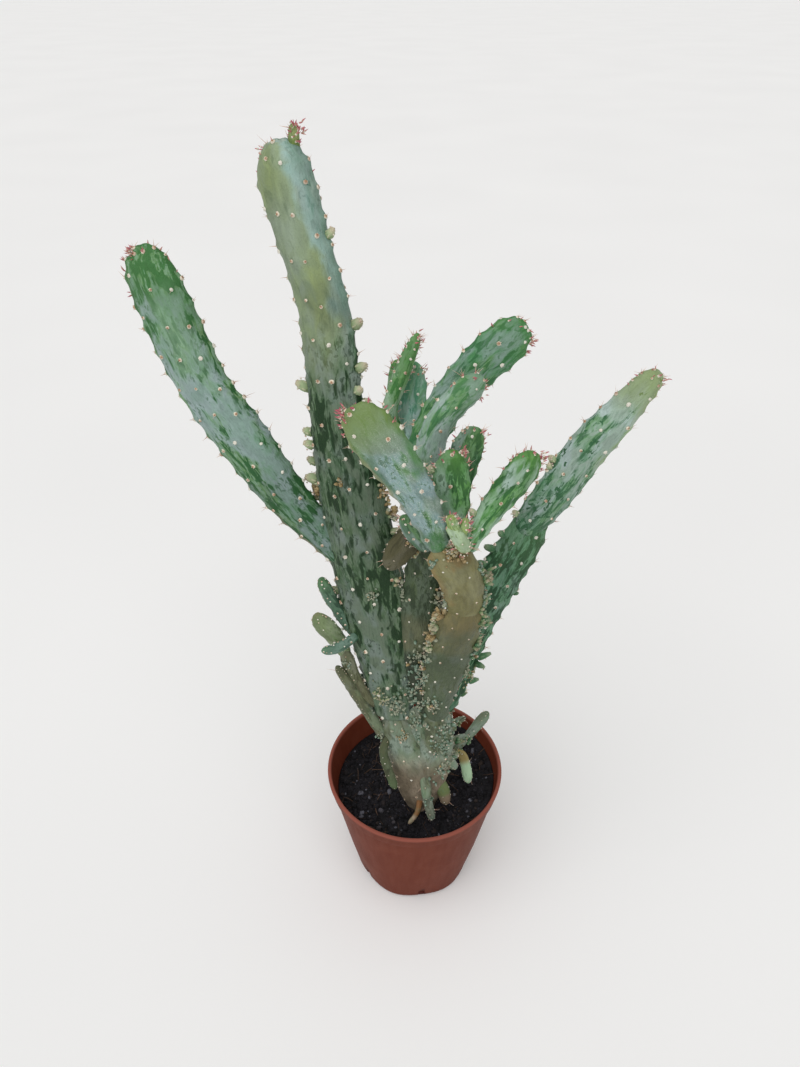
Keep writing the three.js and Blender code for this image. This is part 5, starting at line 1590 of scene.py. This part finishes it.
def set_listed_buds(settings, chance):
    """The buds that each stem lists, alone or as clumps: large ones, small ones, and the wool on them."""
    large, small, felt = [], [], []
    for stem in PLANT:
        entries = stem.entry.get("buds", [])
        for entry, spot in zip(entries, spots_on(stem, [bud[:2] for bud in entries])):
            length, radius = (value * MM * settings.size for value in entry[2:])
            clump = radius > CLUMP_RADIUS * settings.size and stem.look["tuft"] == 1
            kind = 0.5 if clump else stem.look["bud_kinds"][0 if abs(spot.angle) < 90 else 1]
            pieces = 9 if clump else stem.look["tuft"]
            alone = pieces == 1
            for _ in range(pieces):
                up = lean_from(spot, chance, 1, 0.4, 0.08 if alone else 0.4)
                if alone:
                    shape, shift = (radius * 0.86, radius * 0.94, length), Vector()
                else:
                    wide = radius * chance.uniform(0.24, 0.46)
                    shape = (wide, wide * chance.uniform(0.7, 1.1), length * chance.uniform(0.35, 0.75))
                    shift = stray(chance, radius * 0.42)
                tone = clamp(kind + chance.gauss(0, 0.02 if alone else 0.12))
                place = spot.point + shift - up * shape[2] * 0.15
                (large if alone else small).append((stand(place, up, shape, chance), tone))
                felt += wool_on(place, up, shape, chance, 6 if kind and alone else 1)
    return large, small, felt


def set_clusters(settings, chance):
    """The clusters of young buds, and the wool on them."""
    buds, felt = [], []
    for node, which, share, angle, spread, count, size, kind in BUD_CLUSTERS:
        stem = [stem for stem in PLANT if stem.node == node][which]
        width = float(stem.width(np.array([share]))[0]) / 2
        places = []
        for _ in range(3 * count):
            along = chance.gauss(0, spread * MM / stem.length / 1.4)
            around = chance.gauss(0, math.degrees(spread * MM / width) / 1.8)
            places.append((clamp(share + along, 0.01, 0.985), angle + around))
        for spot in spots_on(stem, places):
            radius = size * MM * chance.uniform(0.18, 0.4) * settings.size
            up = lean_from(spot, chance, 1, 0.35, 0.45)
            tall = chance.uniform(2.6, 4.6) if size > LONG_BUD else chance.uniform(1.6, 3.2)
            shape = (radius, radius * chance.uniform(0.6, 1.0), radius * tall)
            tone = clamp(kind + chance.gauss(0, 0.08))
            place = spot.point - up * radius * 0.4
            buds.append((stand(place, up, shape, chance), tone))
            tufts = wool_on(place, up, shape, chance, chance.choice((0, 0, 1)))
            felt += [(matrix, CLUSTER_WOOL) for matrix, _ in tufts]
    return buds, felt


class CACTUS_OT_buds(bpy.types.Operator):
    """Set young buds along the margins and in clusters at the joints"""
    bl_idname = "cactus.buds"
    bl_label = "Buds"

    def execute(self, context):
        settings = context.scene.cactus_bud
        chance = random.Random("buds")
        large, small, felt = set_listed_buds(settings, chance)
        clustered, more_felt = set_clusters(settings, chance)
        finish, _, grain = fluff("young_bud", (1.0, 1.0), 0.3)
        kind = finish.number("kind")
        tone = finish.number("tone")
        colour = BUD_COLOURS[0][1]
        for number, foot, middle, top in BUD_COLOURS:
            body = finish.ramp(tone, [(0, foot), (0.55, middle), (1, top)])
            colour = finish.mix(finish.smooth(kind, number - 0.09, number - 0.03), colour, body)
        colour = finish.shaded(colour, finish.ramp(finish.number("chance"), (0.82, 1.12)))
        skin = finish.done(colour, 0.6 + grain * 0.1, grain, 0.0003)
        dress(scatter("margin_buds", model_bud(), large, 9), skin)
        dress(scatter("young_buds", model_small_bud(), small + clustered, 3), skin)
        finish, colour, grain = fluff("bud_felt", ("#e4dccb", "#b98d7c"), 0.35)
        kind = finish.number("kind")
        colour = finish.mix(finish.band(kind, 0.75, 1.5, 0.15) * 0.5, colour, "#b98880")
        colour = finish.mix(finish.smooth(kind, 1.4, 1.6) * 0.7, colour, "#9ba48e")
        wool = finish.done(colour, 0.9, grain, 0.0003)
        dress(scatter("bud_felt", model_areole(), felt + more_felt, 7), wool)
        return {"FINISHED"}


def set_leaves(settings, chance):
    """The young leaves round the tips of the growing pads, and tufts of wool among them."""
    leaves, wool = [], []
    for stem in PLANT:
        amount = stem.look["leafy"]
        if not amount:
            continue
        crown, other = stem.look["crown"], 180 - stem.look["crown"]
        clusters = (
            (2.2, crown, 22), (1.0, 90, 3), (1.2, 270, 2), (2.5, other, 2), (6, crown, 5), (7, other, 2),
            (10, crown, 2), (13, other, 2), (17, crown, 2), (4, 130, 2))
        for depth, angle, count in clusters:
            place = (1 - depth * (1 * MM / stem.length), angle + chance.gauss(0, 6))
            for spot in spots_on(stem, [place]):
                for _ in range(round(count * amount * chance.uniform(0.7, 1.3))):
                    length = settings.leaf_length * chance.uniform(0.5, 1.0)
                    up = lean_from(spot, chance, 1, 0.55, 0.42)
                    foot = spot.point + stray(chance, (1.1 if count > 5 else 0.4) * MM)
                    redness = clamp(stem.look["blush"] + chance.gauss(0, 0.3))
                    shape = (length * 0.75, length * 0.75, length)
                    leaves.append((stand(foot, up, shape, chance), redness))
                    if chance.random() < 0.45:
                        size = chance.uniform(0.3, 0.55) * MM
                        wool.append((stand(foot, up, (size,) * 3), chance.random()))
    return leaves, wool


class CACTUS_OT_leaves(bpy.types.Operator):
    """Set the small young leaves on the tips of the growing pads"""
    bl_idname = "cactus.leaves"
    bl_label = "Young leaves"

    def execute(self, context):
        settings = context.scene.cactus_bud
        leaves, wool = set_leaves(settings, random.Random("leaves"))
        stops = [(0, "#a3a574"), (0.4, settings.leaf_colour), (1, "#a33a56")]
        finish, colour, grain = fluff("young_leaf", stops, 0.35)
        plain = 1 - finish.smooth(finish.number("kind"), 0.2, 0.75)
        colour = finish.mix(plain * 0.75, colour, "#c9a28f")
        skin = finish.done(colour, 0.5 + grain * 0.1)
        dress(scatter("young_leaves", model_leaf(), leaves, 4), skin)
        finish, colour, grain = fluff("leaf_felt", ("#e4dccb", "#c39b86"), 0.3)
        felt = finish.done(colour, 0.9, grain, 0.0003)
        dress(scatter("leaf_felt", model_areole(), wool, 8), felt)
        return {"FINISHED"}


class CACTUS_OT_stage(bpy.types.Operator):
    """Set the plain floor, the soft lights and the camera"""
    bl_idname = "cactus.stage"
    bl_label = "Stage"

    def execute(self, context):
        scene = context.scene
        start_afresh()
        bpy.ops.mesh.primitive_circle_add(
            vertices=64, radius=FLOOR_RADIUS, fill_type="NGON", location=(0, 0, -FLOOR_DROP))
        floor = context.object
        floor.name = "floor"
        finish = Finish("floor")
        broad = finish.noise(finish.object_place(), 3, 1.0)
        tone = finish.ramp(broad, [(0.3, 0.93), (0.7, 0.95)])
        floor.data.materials.append(finish.done(tone, 0.8))
        world = bpy.data.worlds.new("pale_surroundings")
        world.use_nodes = True
        background = world.node_tree.nodes["Background"]
        background.inputs["Color"].default_value = (1, 0.99, 0.97, 1)
        background.inputs["Strength"].default_value = WORLD_STRENGTH
        scene.world = world
        bpy.ops.object.light_add(type="SUN", location=SUN_PLACE)
        sky = context.object
        sky.name = "soft_sky"
        sky.data.energy = SUN_STRENGTH
        sky.data.angle = math.radians(SUN_SPREAD)
        sky.rotation_euler = [math.radians(turn) for turn in SUN_TURN]
        bpy.ops.object.camera_add(
            location=CAMERA_PLACE, rotation=(math.radians(CAMERA_PITCH), 0, math.radians(CAMERA_YAW)))
        camera = context.object
        camera.name = "camera"
        camera.data.sensor_width = SENSOR
        camera.data.lens = FOCAL_LENGTH_PX / PHOTO_HEIGHT_PX * SENSOR
        camera.data.clip_start = 0.01
        scene.camera = camera
        scene.view_settings.view_transform = "Standard"
        return {"FINISHED"}


class CACTUS_PT_panel(bpy.types.Panel):
    """The cactus's settings and steps"""
    bl_idname = "CACTUS_PT_panel"
    bl_label = "Potted Paddle Cactus"
    bl_space_type = "VIEW_3D"
    bl_region_type = "UI"
    bl_category = "Cactus"

    def draw(self, context):
        for name in SETTINGS:
            column = self.layout.box().column()
            settings = getattr(context.scene, name)
            for field in settings.__annotations__:
                column.prop(settings, field)
        for operator in STEPS:
            self.layout.operator(operator.bl_idname)


SETTINGS = {
    "cactus_pot": PotSettings, "cactus_soil": SoilSettings, "cactus_stem": StemSettings,
    "cactus_areole": AreoleSettings, "cactus_bud": BudSettings,
}
STEPS = (
    CACTUS_OT_pot, CACTUS_OT_soil, CACTUS_OT_trunk, CACTUS_OT_tall_stems, CACTUS_OT_pads, CACTUS_OT_shoots,
    CACTUS_OT_areoles, CACTUS_OT_buds, CACTUS_OT_leaves, CACTUS_OT_stage,
)


def register():
    for kind in (*SETTINGS.values(), *STEPS, CACTUS_PT_panel):
        bpy.utils.register_class(kind)
    for name, kind in SETTINGS.items():
        setattr(bpy.types.Scene, name, PointerProperty(type=kind))


def unregister():
    for name in SETTINGS:
        delattr(bpy.types.Scene, name)
    for kind in reversed((*SETTINGS.values(), *STEPS, CACTUS_PT_panel)):
        bpy.utils.unregister_class(kind)


def main():
    register()
    for operator in STEPS:
        step = getattr(bpy.ops.cactus, operator.bl_idname.split(".")[1])
        if step() != {"FINISHED"}:
            raise RuntimeError(operator.bl_label + " did not finish")


if __name__ == "__main__":
    main()
